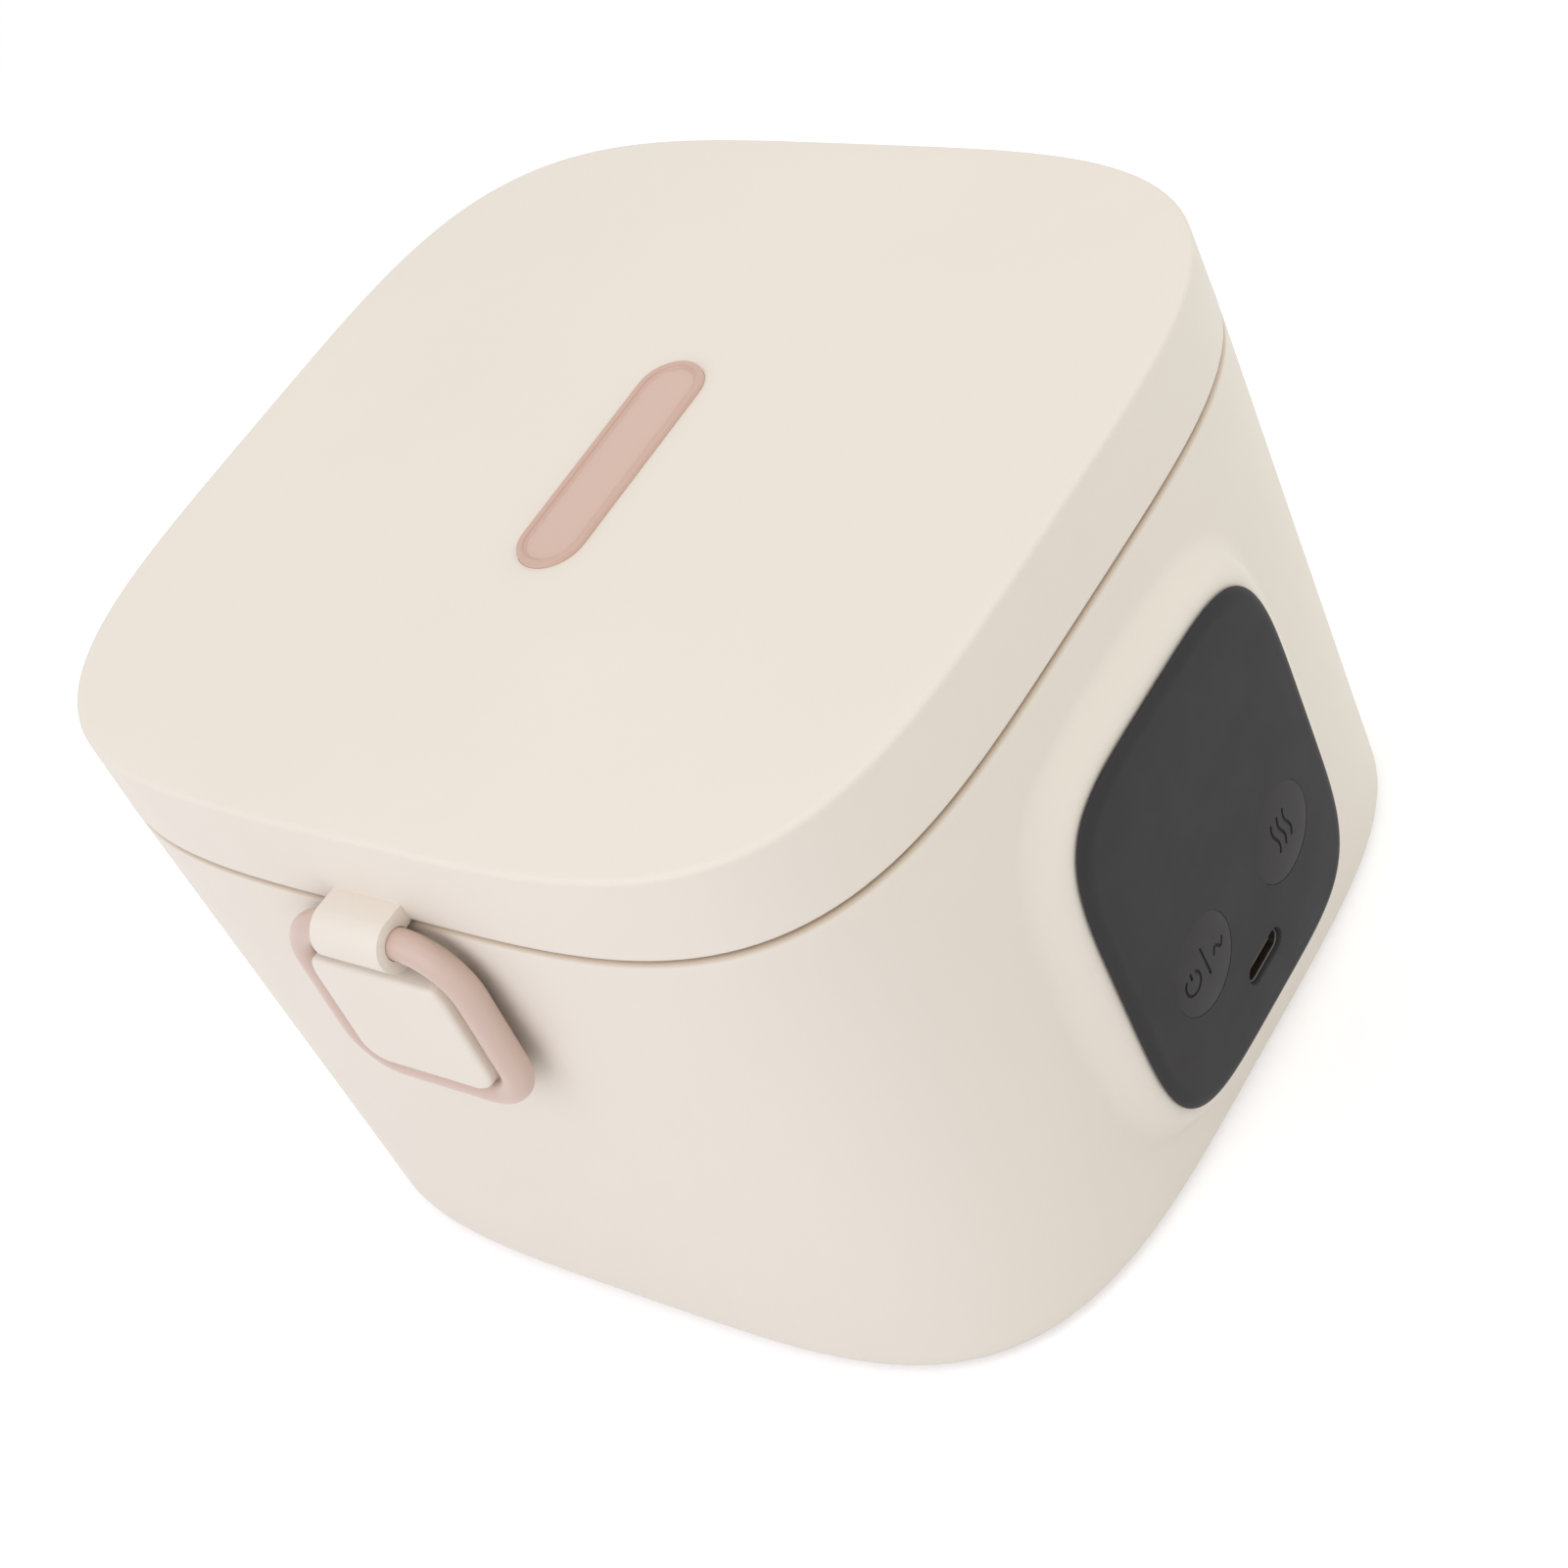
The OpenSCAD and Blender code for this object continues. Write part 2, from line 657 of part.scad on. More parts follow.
// The curl that holds the latch's bar, open towards the wall so that the bar snaps in.
module curl_profile() {
  difference() {
    union() {
      translate([-bar_off, bar_z]) circle(r = curl_r, $fn = 96);
      polygon([
        [lid_wall / 2, lid_edge_z],
        [lid_wall / 2, tab_top_z],
        [0, tab_top_z],
        [-bar_off, bar_z + curl_r - 0.02],
        [-bar_off - curl_r * cos(80), bar_z + curl_r * sin(80) - 0.02],
        [-bar_off, lid_edge_z]
      ]);
    }
    translate([-bar_off, bar_z]) circle(r = ring_tube_r + bar_clear, $fn = 96);
    translate([-bar_off + 1.2, bar_z - curl_r - past]) square([bar_off + past, lid_edge_z - bar_z + curl_r + past]);
  }
}

module lid_tab() {
  translate([-half_w, tab_w / 2, 0]) rotate([90, 0, 0]) linear_extrude(tab_w) curl_profile();
}

module hinge_arm_profile() {
  translate([hinge_x, hinge_z]) circle(r = knuckle_r, $fn = bore_fn);
  polygon([
    [half_w - lid_wall / 2, lid_edge_z + 0.6],
    [half_w - lid_wall / 2, lid_edge_z + 9],
    [half_w + 0.6, lid_edge_z + 9],
    [hinge_x + knuckle_r * cos(25), hinge_z + knuckle_r * sin(25)],
    [hinge_x, hinge_z],
    [hinge_x - knuckle_r * 0.9, hinge_z + 1.2]
  ]);
}

module lid_knuckle() {
  difference() {
    translate([0, knuckle_l / 2, 0]) rotate([90, 0, 0]) linear_extrude(knuckle_l) hinge_arm_profile();
    along_y(hinge_x, hinge_z, pin_r + pin_clear, knuckle_l + 2 * past);
  }
}

// Short ledges on the skirt, which the liner's flange snaps over.
module liner_clips() {
  intersection() {
    band(lid_wall - 0.4, lid_wall + 1.1, liner_flange_z - 0.7, 0.6);
    union() {
      translate([-body_w, -clip_l / 2, 0]) cube([2 * body_w, clip_l, 2 * shell_h]);
      translate([-clip_l / 2, -body_d, 0]) cube([clip_l, 2 * body_d, 2 * shell_h]);
    }
  }
}

module badge_outline(inset) {
  stadium(badge_l - 2 * inset, badge_w - 2 * inset);
}

module lid_shell() {
  body_frame() color(shell_color) difference() {
    union() {
      difference() {
        soft_block(0, lid_draft, lid_edge_z, lid_top_z, 0, lid_edge_r);
        slab(lid_wall, lid_edge_z - past, liner_flange_z + liner_t + 0.1 - lid_edge_z + past);
        slab(lid_wall + 1.4, lid_edge_z - past, roof_z - lid_edge_z + past);
      }
      liner_clips();
      lid_tab();
      lid_knuckle();
    }
    translate([0, 0, lid_top_z - badge_seat]) linear_extrude(badge_seat + past) badge_outline(-0.05);
    for (x = [-badge_l / 4, badge_l / 4])
      translate([x, 0, roof_z - past]) cylinder(r = 1.1, h = lid_top_t + 2 * past, $fn = bore_fn);
  }
}

module lid_liner() {
  body_frame() color(liner_color) difference() {
    union() {
      slab(liner_inset, liner_z, liner_flange_z - liner_z + liner_t);
      slab(lid_wall + 0.2, liner_flange_z, liner_t);
    }
    slab(liner_inset + liner_t, liner_z + liner_t, shell_h);
    band(gasket_inset + 0.6, gasket_inset + gasket_w - 0.6, liner_z - past, past + 0.8);
  }
}

module lid_gasket() {
  seal_z = container_flange_z + flange_t + 0.05;
  body_frame() color("#C9C4BC") {
    band(gasket_inset, gasket_inset + gasket_w, seal_z + 0.8, liner_z - seal_z - 0.8);
    band(gasket_inset + 0.5, gasket_inset + gasket_w - 0.5, seal_z, 1);
    band(gasket_inset + 0.65, gasket_inset + gasket_w - 0.65, liner_z - 0.5, 1.2);
  }
}

module lid_insulation() {
  body_frame() color(foam_color)
    slab(liner_inset + liner_t + 0.4, liner_z + liner_t + seat_gap, roof_z - seat_gap - liner_z - liner_t - seat_gap);
}

module badge() {
  body_frame() color(pink_color) {
    difference() {
      translate([0, 0, lid_top_z - badge_seat]) linear_extrude(badge_seat + badge_proud) badge_outline(0);
      translate([0, 0, lid_top_z + badge_proud - 0.35]) linear_extrude(past) badge_outline(badge_rim);
    }
    for (x = [-badge_l / 4, badge_l / 4])
      translate([x, 0, roof_z + 0.2]) cylinder(r = 1, h = lid_top_t - badge_seat, $fn = bore_fn);
  }
}

// ---- The latch ----

// The latch's own frame: its bar lies along Y at the origin, and it hangs down and leans out.
module latch_frame() {
  body_frame() translate([-half_w - bar_off, 0, bar_z]) rotate([0, latch_lean, 0]) children();
}

// Draws a flat outline in the latch's plane, from back to front, both measured out from the bar.
module latch_plate(back, front) {
  translate([-back, 0, 0]) rotate([90, 0, -90]) linear_extrude(front - back) children();
}

module ring_corner(r, y, z, start) {
  translate([0, y, z]) rotate([0, 90, 0]) rotate([0, 0, start])
    rotate_extrude(angle = 90, $fn = 96) translate([r, 0]) circle(r = ring_tube_r, $fn = 48);
}

module ring_bar(z, half_l) {
  translate([0, half_l, z]) rotate([90, 0, 0]) cylinder(r = ring_tube_r, h = 2 * half_l, $fn = 48);
}

module ring_tube() {
  top_y = ring_w / 2 - ring_top_r;
  low_y = ring_w / 2 - ring_low_r;
  low_z = ring_h - ring_low_r;
  ring_bar(0, top_y);
  ring_bar(-ring_h, low_y);
  for (side = [-ring_w / 2, ring_w / 2])
    translate([0, side, -low_z]) cylinder(r = ring_tube_r, h = low_z - ring_top_r, $fn = 48);
  ring_corner(ring_low_r, low_y, -low_z, 0);
  ring_corner(ring_top_r, top_y, -ring_top_r, 90);
  ring_corner(ring_top_r, -top_y, -ring_top_r, 180);
  ring_corner(ring_low_r, -low_y, -low_z, 270);
}

// The ring's inner outline drawn in by gap, and cut straight at a distance below the bar.
module pad_outline(gap, top) {
  r_top = ring_top_r - gap;
  r_low = ring_low_r - gap;
  hw = ring_w / 2 - gap;
  low = ring_h - gap;
  intersection() {
    union() {
      for (side = [-1, 1]) {
        translate([side * (hw - r_top), -ring_top_r]) circle(r = r_top, $fn = 96);
        translate([side * (hw - r_low), r_low - low]) circle(r = r_low, $fn = 96);
      }
      translate([-hw, r_low - low]) square([2 * hw, low - r_low - ring_top_r]);
      translate([-hw + r_top, -ring_top_r - 1]) square([2 * (hw - r_top), r_top + 1]);
      translate([-hw + r_low, -low]) square([2 * (hw - r_low), r_low + 1]);
    }
    translate([-ring_w, -top - ring_h]) square([2 * ring_w, ring_h]);
  }
}

module pad_flange(grow) {
  latch_plate(-pad_back - grow, -pad_back + pad_flange_t + grow) pad_outline(0.8 - grow, pad_top - grow);
}

module latch_ring() {
  latch_frame() color(pink_color) difference() {
    ring_tube();
    pad_flange(0.02);
  }
}

module latch_pad() {
  latch_frame() color(shell_color) {
    pad_flange(0);
    latch_plate(-pad_back, pad_front - pad_edge) pad_outline(ring_tube_r + pad_gap, pad_top);
    latch_plate(-pad_back, pad_front) pad_outline(ring_tube_r + pad_gap + pad_edge, pad_top + pad_edge);
    translate([pad_back - 0.5, -bead_w / 2 + 0.5, -hook_drop]) cube([hook_reach - pad_back + 0.5, bead_w - 1, hook_h]);
  }
}

outer_shell();
rim_ring();
heating_well();
food_container();
insulation_sleeve();
heater_plate();
heating_film();
temperature_sensor();
thermal_fuse();
heater_leads();
base_insulation();
base_cover();
base_screws();
foot(-1, -1);  // foot_front_left
foot(1, -1);  // foot_front_right
foot(-1, 1);  // foot_rear_left
foot(1, 1);  // foot_rear_right
control_board();
board_screws();
usb_socket();
usb_tongue();
tact_switch(-button_x);  // power_switch
tact_switch(button_x);  // heat_switch
switch_plunger(-button_x);  // power_plunger
switch_plunger(button_x);  // heat_plunger
control_panel();
button(-button_x);  // power_button
button(button_x);  // heat_button
hinge_pin();
lid_shell();
lid_liner();
lid_gasket();
lid_insulation();
badge();
latch_ring();
latch_pad();
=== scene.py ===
"""Electric lunch box: the looks of its pieces, laid out as a Blender add-on and run as a script."""

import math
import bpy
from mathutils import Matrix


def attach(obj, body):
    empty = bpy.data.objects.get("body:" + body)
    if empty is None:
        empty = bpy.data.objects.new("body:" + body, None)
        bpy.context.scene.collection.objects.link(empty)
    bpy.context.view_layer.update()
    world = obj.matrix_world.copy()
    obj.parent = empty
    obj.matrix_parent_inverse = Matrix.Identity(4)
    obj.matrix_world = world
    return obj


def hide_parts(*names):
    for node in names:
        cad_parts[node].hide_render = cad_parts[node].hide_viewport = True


bl_info = {
    "name": "Electric Lunch Box",
    "version": (1, 0, 0),
    "blender": (4, 5, 0),
    "location": "View3D > Sidebar > Lunch Box",
    "description": "Builds the mouldings, metalwork and studio of an electric lunch box",
    "category": "Object",
}

import bmesh
import bpy
from bpy.props import FloatProperty, FloatVectorProperty, IntProperty, PointerProperty
from mathutils import Matrix, Vector

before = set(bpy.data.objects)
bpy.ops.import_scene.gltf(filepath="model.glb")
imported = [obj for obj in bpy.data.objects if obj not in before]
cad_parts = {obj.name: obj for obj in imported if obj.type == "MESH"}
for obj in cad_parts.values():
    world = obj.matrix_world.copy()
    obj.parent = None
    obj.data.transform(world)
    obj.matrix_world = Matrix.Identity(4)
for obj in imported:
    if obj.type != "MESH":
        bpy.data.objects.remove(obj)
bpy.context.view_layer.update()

MM = 0.001
POLE = 1000.0  # an inset that stands for the middle of a squircle
SHARP = 34  # degrees between two faces from which their edge stays sharp, unless a piece says otherwise

# How much the scratches of metal are squeezed along X, Y and Z.
LINES_ROUND, LINES_UP, LINES_ALONG_Y = (60.0, 60.0, 2500.0), (2500.0, 60.0, 60.0), (60.0, 2500.0, 60.0)
NO_LINES = (900.0, 900.0, 900.0)
WHITE = (1, 1, 1, 1)

# Heights and places of the lunch box, in millimetres, as the solids have them.
BODY_Y = 2.925
HALF_W, HALF_D = 68.0, 69.75
SHELL_LOW, SEAM, LID_EDGE, LID_TOP = 1.0, 89.4, 89.9, 104.4
WALL, SHELL_DRAFT, LID_DRAFT = 2.2, 0.5, 0.3
PANEL_Z, PLATEAU = 44.3, 4.0
BUTTON_X, BUTTON_Z, BUTTON_R = 11.8, 35.5, 7.25
SOCKET_Z = 23.0
SOCKET_W, SOCKET_H = 8.94, 3.26
BAR_OFF, BAR_Z, LEAN = 3.4, 89.4, math.radians(2)
CURL_R, TAB_W, TAB_TOP = 3.9, 12.0, 93.1
RING_R, RING_W, RING_H = 2.2, 28.6, 27.8
RING_LOW_R, RING_TOP_R = 6.5, RING_W / 2 - TAB_W / 2 - 0.1
PAD_GAP, PAD_BACK, PAD_FRONT, PAD_CORNER = RING_R + 0.3, -0.9, 2.9, 1.4
PAD_TOP, HOOK_DROP, HOOK_H = CURL_R + 1.0, RING_H - RING_R - 3.6, 1.8
HOOK_REACH = BAR_OFF + HOOK_DROP * math.sin(LEAN) - 1.8
BEAD_Z = BAR_Z - (HOOK_DROP - HOOK_H) * math.cos(LEAN) + 0.5
HINGE_X, HINGE_Z = HALF_W + 3.9, 89.65
KNUCKLE_R, KNUCKLE_L, EAR_L, EAR_GAP, PIN_R = 3.39, 24.0, 6.0, 0.3, 1.5
BOSS_X, BOSS_Y, FOOT_X, FOOT_Y = 49.5, 51.25, 40.0, 41.75


# ---- Nodes ----


class Value:
    """What a node puts out. Numbers take part in plain arithmetic."""

    def __init__(self, sketch, socket):
        self.sketch = sketch
        self.socket = socket

    def __add__(self, other):
        return self.sketch.math("ADD", self, other)

    def __sub__(self, other):
        return self.sketch.math("SUBTRACT", self, other)

    def __mul__(self, other):
        return self.sketch.math("MULTIPLY", self, other)

    def __truediv__(self, other):
        return self.sketch.math("DIVIDE", self, other)

    def __rtruediv__(self, other):
        return self.sketch.math("DIVIDE", other, self)

    def __pow__(self, other):
        return self.sketch.math("POWER", self, other)

    def __abs__(self):
        return self.sketch.math("ABSOLUTE", self)


class Sketch:
    """Adds nodes to one tree and links them."""

    def __init__(self, tree):
        self.tree = tree

    def feed(self, socket, value):
        """Links a value to a socket, or sets the socket to a constant."""
        if isinstance(value, Value):
            self.tree.links.new(value.socket, socket)
        else:
            socket.default_value = value

    def add(self, kind, values=None, **settings):
        node = self.tree.nodes.new(kind)
        for key, value in settings.items():
            setattr(node, key, value)
        for key, value in (values or {}).items():
            self.feed(node.inputs[key], value)
        return node

    def get(self, kind, values=None, output=0, **settings):
        """One output of a new node."""
        return Value(self, self.add(kind, values, **settings).outputs[output])

    def math(self, operation, *values):
        return self.get("ShaderNodeMath", dict(enumerate(values)), operation=operation)

    def mix(self, factor, a, b, blend="MIX"):
        return self.get("ShaderNodeMix", {0: factor, 6: a, 7: b}, 2, data_type="RGBA", blend_type=blend)

    def span(self, value, low, high, to_low=0.0, to_high=1.0, kind="LINEAR"):
        given = {0: value, 1: low, 2: high, 3: to_low, 4: to_high}
        return self.get("ShaderNodeMapRange", given, interpolation_type=kind)

    def parts(self, vector):
        """X, Y and Z of a vector."""
        return [Value(self, socket) for socket in self.add("ShaderNodeSeparateXYZ", {0: vector}).outputs]

    def norm(self, x, y, power):
        """Distance of a place from the middle, as a squircle measures it."""
        return (abs(x) ** power + abs(y) ** power) ** (1.0 / power)

    def place(self):
        return self.get("ShaderNodeTexCoord", output="Object")

    def noise(self, vector, scale, detail=2.0, roughness=0.5, distortion=0.0):
        given = {"Vector": vector, "Scale": scale, "Detail": detail, "Roughness": roughness, "Distortion": distortion}
        return self.get("ShaderNodeTexNoise", given, "Fac")

    def swing(self, noise, low, high):
        """The middle range of a noise, spread from low to high."""
        return self.span(noise, 0.3, 0.7, low, high)

    def lit(self, colour, value):
        """A colour made lighter or darker."""
        return self.get("ShaderNodeHueSaturation", {"Value": value, "Color": colour})

    def seen(self):
        """One for rays that look at a surface, straight on, in a mirror or through glass."""
        path = self.add("ShaderNodeLightPath").outputs
        looks = [Value(self, path[label]) for label in ("Is Camera Ray", "Is Glossy Ray", "Is Transmission Ray")]
        return self.math("MAXIMUM", self.math("MAXIMUM", *looks[:2]), looks[2])

    def send(self, **results):
        """Ends a group with its results, by name."""
        end = self.tree.nodes.new("NodeGroupOutput")
        for name, value in results.items():
            self.feed(end.inputs[name], value)
        return self.tree

    def close(self, geometry, material):
        """Ends a geometry tree in real geometry with its material."""
        real = self.get("GeometryNodeRealizeInstances", {0: geometry})
        return self.send(Geometry=self.get("GeometryNodeSetMaterial", {"Geometry": real, "Material": material}))


def new_tree(name, kind, inputs, outputs):
    """A sketch of a new group and its inputs by name. They are given as name: (socket type, default)."""
    tree = bpy.data.node_groups.new(name, kind)
    for label, (socket_type, default) in inputs.items():
        socket = tree.interface.new_socket(label, in_out="INPUT", socket_type="NodeSocket" + socket_type)
        if default is not None:
            socket.default_value = default
    for label, socket_type in outputs.items():
        tree.interface.new_socket(label, in_out="OUTPUT", socket_type="NodeSocket" + socket_type)
    sketch, given = Sketch(tree), tree.nodes.new("NodeGroupInput")
    return sketch, {label: Value(sketch, given.outputs[label]) for label in inputs}


# ---- Shared shader effects ----


def moulded_grain_group():
    """Fine spark-eroded texture and a slow drift of tone, as on moulded plastic."""
    s, given = new_tree("Moulded grain", "ShaderNodeTree", {
        "Colour": ("Color", (0.8, 0.8, 0.8, 1)),
        "Drift": ("Float", 0.03),
        "Grain Size": ("Float", 0.4),
        "Roughness": ("Float", 0.5),
    }, {"Colour": "Color", "Roughness": "Float", "Height": "Float"})
    place = s.place()
    fine = s.noise(place, 1000.0 / given["Grain Size"], roughness=0.6)
    slow = s.noise(place, 26.0)
    soft = s.noise(place, 160.0, 3.0, 0.55)
    change = (s.swing(slow, -0.5, 0.5) + s.swing(fine, -0.22, 0.22)) * given["Drift"]
    return s.send(
        Colour=s.lit(given["Colour"], change + 1.0),
        Roughness=given["Roughness"] + s.swing(soft, -0.035, 0.035),
        Height=fine)


def brushed_group():
    """Fine scratches along one axis, as on drawn and brushed metal."""
    s, given = new_tree("Brushed metal", "ShaderNodeTree", {
        "Colour": ("Color", (0.7, 0.7, 0.7, 1)),
        "Stretch": ("Vector", LINES_ROUND),
        "Roughness": ("Float", 0.3),
    }, {"Colour": "Color", "Roughness": "Float", "Height": "Float"})
    place = s.place()
    along = s.get("ShaderNodeVectorMath", {0: place, 1: given["Stretch"]}, operation="MULTIPLY")
    lines = s.noise(along, 1.0, 4.0, 0.65)
    cloud = s.noise(place, 40.0)
    return s.send(
        Colour=s.lit(given["Colour"], s.swing(lines, -0.08, 0.08) + 1.0),
        Roughness=given["Roughness"] + (s.swing(lines, -0.06, 0.08) + s.swing(cloud, -0.03, 0.03)),
        Height=lines)


def felt_group():
    """Tangled fibres of pressed insulation."""
    s, given = new_tree("Pressed fibres", "ShaderNodeTree", {
        "Colour": ("Color", (0.8, 0.8, 0.78, 1)),
        "Fibre Size": ("Float", 0.6),
    }, {"Colour": "Color", "Height": "Float"})
    place = s.place()
    tangle = s.noise(place, 1000.0 / given["Fibre Size"], 5.0, distortion=1.6)
    value = s.swing(tangle, 0.86, 1.04) + s.swing(s.noise(place, 90.0), -0.05, 0.05)
    return s.send(Colour=s.lit(given["Colour"], value), Height=tangle)


def shade(colour):
    """The linear colour of an sRGB colour given from 0 to 255, or already as three fractions."""
    fractions = [c / 255 if max(colour) > 1 else c for c in colour[:3]]
    return [c / 12.92 if c <= 0.04045 else ((c + 0.055) / 1.055) ** 2.4 for c in fractions] + [1.0]


class Finishes:
    """The finishes of the lunch box, each made once and kept by name."""

    def __init__(self, palette):
        self.palette = palette
        self.grain = moulded_grain_group()
        self.brushed = brushed_group()
        self.felt = felt_group()
        self.made = {}

    def make(self, name, group, effect, relief, surface):
        """A finish from a shared effect, the depth of its relief in mm and the surface's own values."""
        if name not in self.made:
            material = self.made[name] = bpy.data.materials.new(name)
            material.use_nodes = True
            s = Sketch(material.node_tree)
            s.tree.nodes.clear()
            node = s.add("ShaderNodeGroup", effect, node_tree=group)
            shown = {socket.name: Value(s, socket) for socket in node.outputs}
            bump = {"Height": shown.pop("Height"), "Distance": relief * MM, "Strength": 1.0}
            shown["Base Color"] = shown.pop("Colour")
            shown["Normal"] = s.get("ShaderNodeBump", bump)
            s.add("ShaderNodeOutputMaterial", {0: s.get("ShaderNodeBsdfPrincipled", {**shown, **surface})})
        return self.made[name]

    def moulded(self, name, colour, roughness=0.5, drift=0.03, size=0.4, relief=0.012, coat=0.0, specular=0.5):
        """Moulded plastic, silicone or rubber."""
        effect = {"Colour": shade(colour), "Drift": drift, "Grain Size": size, "Roughness": roughness}
        surface = {"Coat Weight": coat, "Coat Roughness": 0.35, "Specular IOR Level": specular}
        return self.make(name, self.grain, effect, relief, surface)

    def metal(self, name, colour, roughness=0.28, stretch=None):
        """Brushed or drawn metal, with its lines across the long way of stretch."""
        effect = {"Colour": shade(colour), "Stretch": stretch or LINES_ROUND, "Roughness": roughness}
        return self.make(name, self.brushed, effect, 0.004, {"Metallic": 1.0})

    def insulation(self, name, colour):
        """Soft pressed felt."""
        surface = {"Roughness": 0.95, "Sheen Weight": 0.3}
        return self.make(name, self.felt, {"Colour": shade(colour)}, 0.3, surface)

    def band(self, material, low, high, soft, tint, reach=1000.0):
        """Tints a finish between two heights, as far out as the reach, with soft limits. Lengths are in mm."""
        s = Sketch(material.node_tree)
        base = next(node for node in s.tree.nodes if node.type == "BSDF_PRINCIPLED").inputs["Base Color"]
        plain = Value(s, base.links[0].from_socket)
        x, _, z = s.parts(s.place())
        over = s.span(z, (low - soft) * MM, low * MM, kind="SMOOTHSTEP")
        under = s.span(z, high * MM, (high + soft) * MM, 1.0, 0.0, "SMOOTHSTEP")
        near = s.math("LESS_THAN", abs(x), reach * MM)
        s.feed(base, s.mix(over * under * near, plain, (*tint, 1), "MULTIPLY"))
        return material

    def cream(self, name="cream_moulding"):
        return self.moulded(name, self.palette.cream, 0.52, 0.018, 0.35, 0.006)

    def housing(self):
        """The cream of the shell and lid, with painted shade: deeper and warmer in the groove of the seam."""
        if "cream_housing" in self.made:
            return self.made["cream_housing"]
        cream = self.cream("cream_housing")
        # Painted shade: the band tints the cream darker and warmer round the seam, where the parting line falls in
        # shade.
        return self.band(cream, SEAM - 0.1, LID_EDGE + 0.1, 0.6, (0.80, 0.73, 0.65), HALF_W + 0.25)

    def liner(self):
        return self.moulded("liner_moulding", self.palette.liner, 0.42, 0.02, 0.5, 0.006)

    def dark(self, name="dark_soft_touch", paler=1.0):
        colour = [paler * value for value in self.palette.panel]
        return self.moulded(name, colour, 0.55, 0.06, 0.22, 0.01, specular=0.1)

    def button(self):
        """The panel's finish, a little paler: painted light, a lit copy of the panel's finish for the domed caps."""
        return self.dark("button_soft_touch", 1.12)

    def ink(self):
        return self.moulded("mark_groove", (30, 29, 29), 0.6, 0.04, 0.3, 0.004, specular=0.2)

    def pink(self):
        return self.moulded("blush_moulding", self.palette.blush, 0.34, 0.018, 0.5, 0.004, coat=0.12)

    def badge(self):
        material = self.moulded("badge_moulding", self.palette.badge, 0.4, 0.03, 0.35, 0.006)
        return self.band(material, LID_TOP + 0.52, LID_TOP + 1, 0.12, (0.93, 0.88, 0.86))

    def steel(self):
        return self.metal("brushed_container", (196, 198, 200), 0.27)

    def fastener(self):
        return self.metal("screw_metal", (176, 178, 180), 0.3, NO_LINES)


# ---- Geometry trees ----


def squircle_tree():
    """A profile of (inset, height) carried round a squircle. The profile's Y marks rows that face outwards."""
    s, given = new_tree("Squircle moulding", "GeometryNodeTree", {
        "Profile": ("Geometry", None),
        "Half Width": ("Float", 0.068),
        "Half Depth": ("Float", 0.06975),
        "Squareness": ("Float", 4.0),
        "Middle Y": ("Float", 0.0),
        "Columns": ("Int", 192),
        "Closed Rows": ("Int", 0),
        "Material": ("Material", None),
    }, {"Geometry": "Geometry"})
    here = s.get("GeometryNodeInputPosition")
    count = s.get("GeometryNodeAttributeDomainSize", {0: given["Profile"]}, "Point Count", component="MESH")
    rows = count + given["Closed Rows"]
    size = {"Size X": 1.0, "Size Y": 1.0, "Vertices X": given["Columns"] + 1.0, "Vertices Y": rows}
    grid = s.get("GeometryNodeMeshGrid", size, "Mesh")
    along, up, _ = s.parts(here)
    row = s.math("MODULO", s.math("ROUND", (up + 0.5) * (rows - 1.0)), count)
    sampled = {"Geometry": given["Profile"], "Value": here, "Index": row}
    inset, mark, height = s.parts(s.get("GeometryNodeSampleIndex", sampled, data_type="FLOAT_VECTOR"))
    half_w = s.math("MAXIMUM", given["Half Width"] - inset, 0.0)
    half_d = s.math("MAXIMUM", given["Half Depth"] - inset, 0.0)
    turn = (along + 0.5) * (2 * math.pi)
    cosine, sine = s.math("COSINE", turn), s.math("SINE", turn)
    radius = half_w * half_d / s.norm(cosine * half_d, sine * half_w, given["Squareness"])
    place = s.get("ShaderNodeCombineXYZ", {0: cosine * radius, 1: sine * radius + given["Middle Y"], 2: height})
    noted = {"Geometry": grid, "Name": "outer", "Value": mark}
    marked = s.get("GeometryNodeStoreNamedAttribute", noted, data_type="FLOAT", domain="POINT")
    moved = s.get("GeometryNodeSetPosition", {"Geometry": marked, "Position": place})
    return s.close(s.get("GeometryNodeMergeByDistance", {"Geometry": moved, "Distance": 2e-7}), given["Material"])


def plateau_tree():
    """Raises the front wall into a flat bed for the panel, with a soft slope round it."""
    s, given = new_tree("Panel plateau", "GeometryNodeTree", {
        "Geometry": ("Geometry", None),
        "Half Width": ("Float", 0.02675),
        "Half Height": ("Float", 0.03125),
        "Squareness": ("Float", 4.6),
        "Centre Z": ("Float", 0.0443),
        "Face Y": ("Float", -0.07),
        "Flat Margin": ("Float", 0.0004),
        "Slope": ("Float", 0.006),
        "Material": ("Material", None),
    }, {"Geometry": "Geometry"})
    x, y, z = s.parts(s.get("GeometryNodeInputPosition"))
    up = z - given["Centre Z"]
    ring = s.norm(x / given["Half Width"], up / given["Half Height"], given["Squareness"])
    reach = s.math("SQRT", x * x + up * up)
    low = given["Flat Margin"]
    lift = s.span(reach - reach / ring, low, low + given["Slope"], 1.0, 0.0, "SMOOTHERSTEP")
    outer = s.get("GeometryNodeInputNamedAttribute", {0: "outer"}, data_type="FLOAT")
    share = lift * (outer * s.math("LESS_THAN", y, 0.0))
    offset = s.get("ShaderNodeCombineXYZ", {1: (given["Face Y"] - y) * share})
    moved = s.get("GeometryNodeSetPosition", {"Geometry": given["Geometry"], "Offset": offset})
    return s.close(moved, given["Material"])


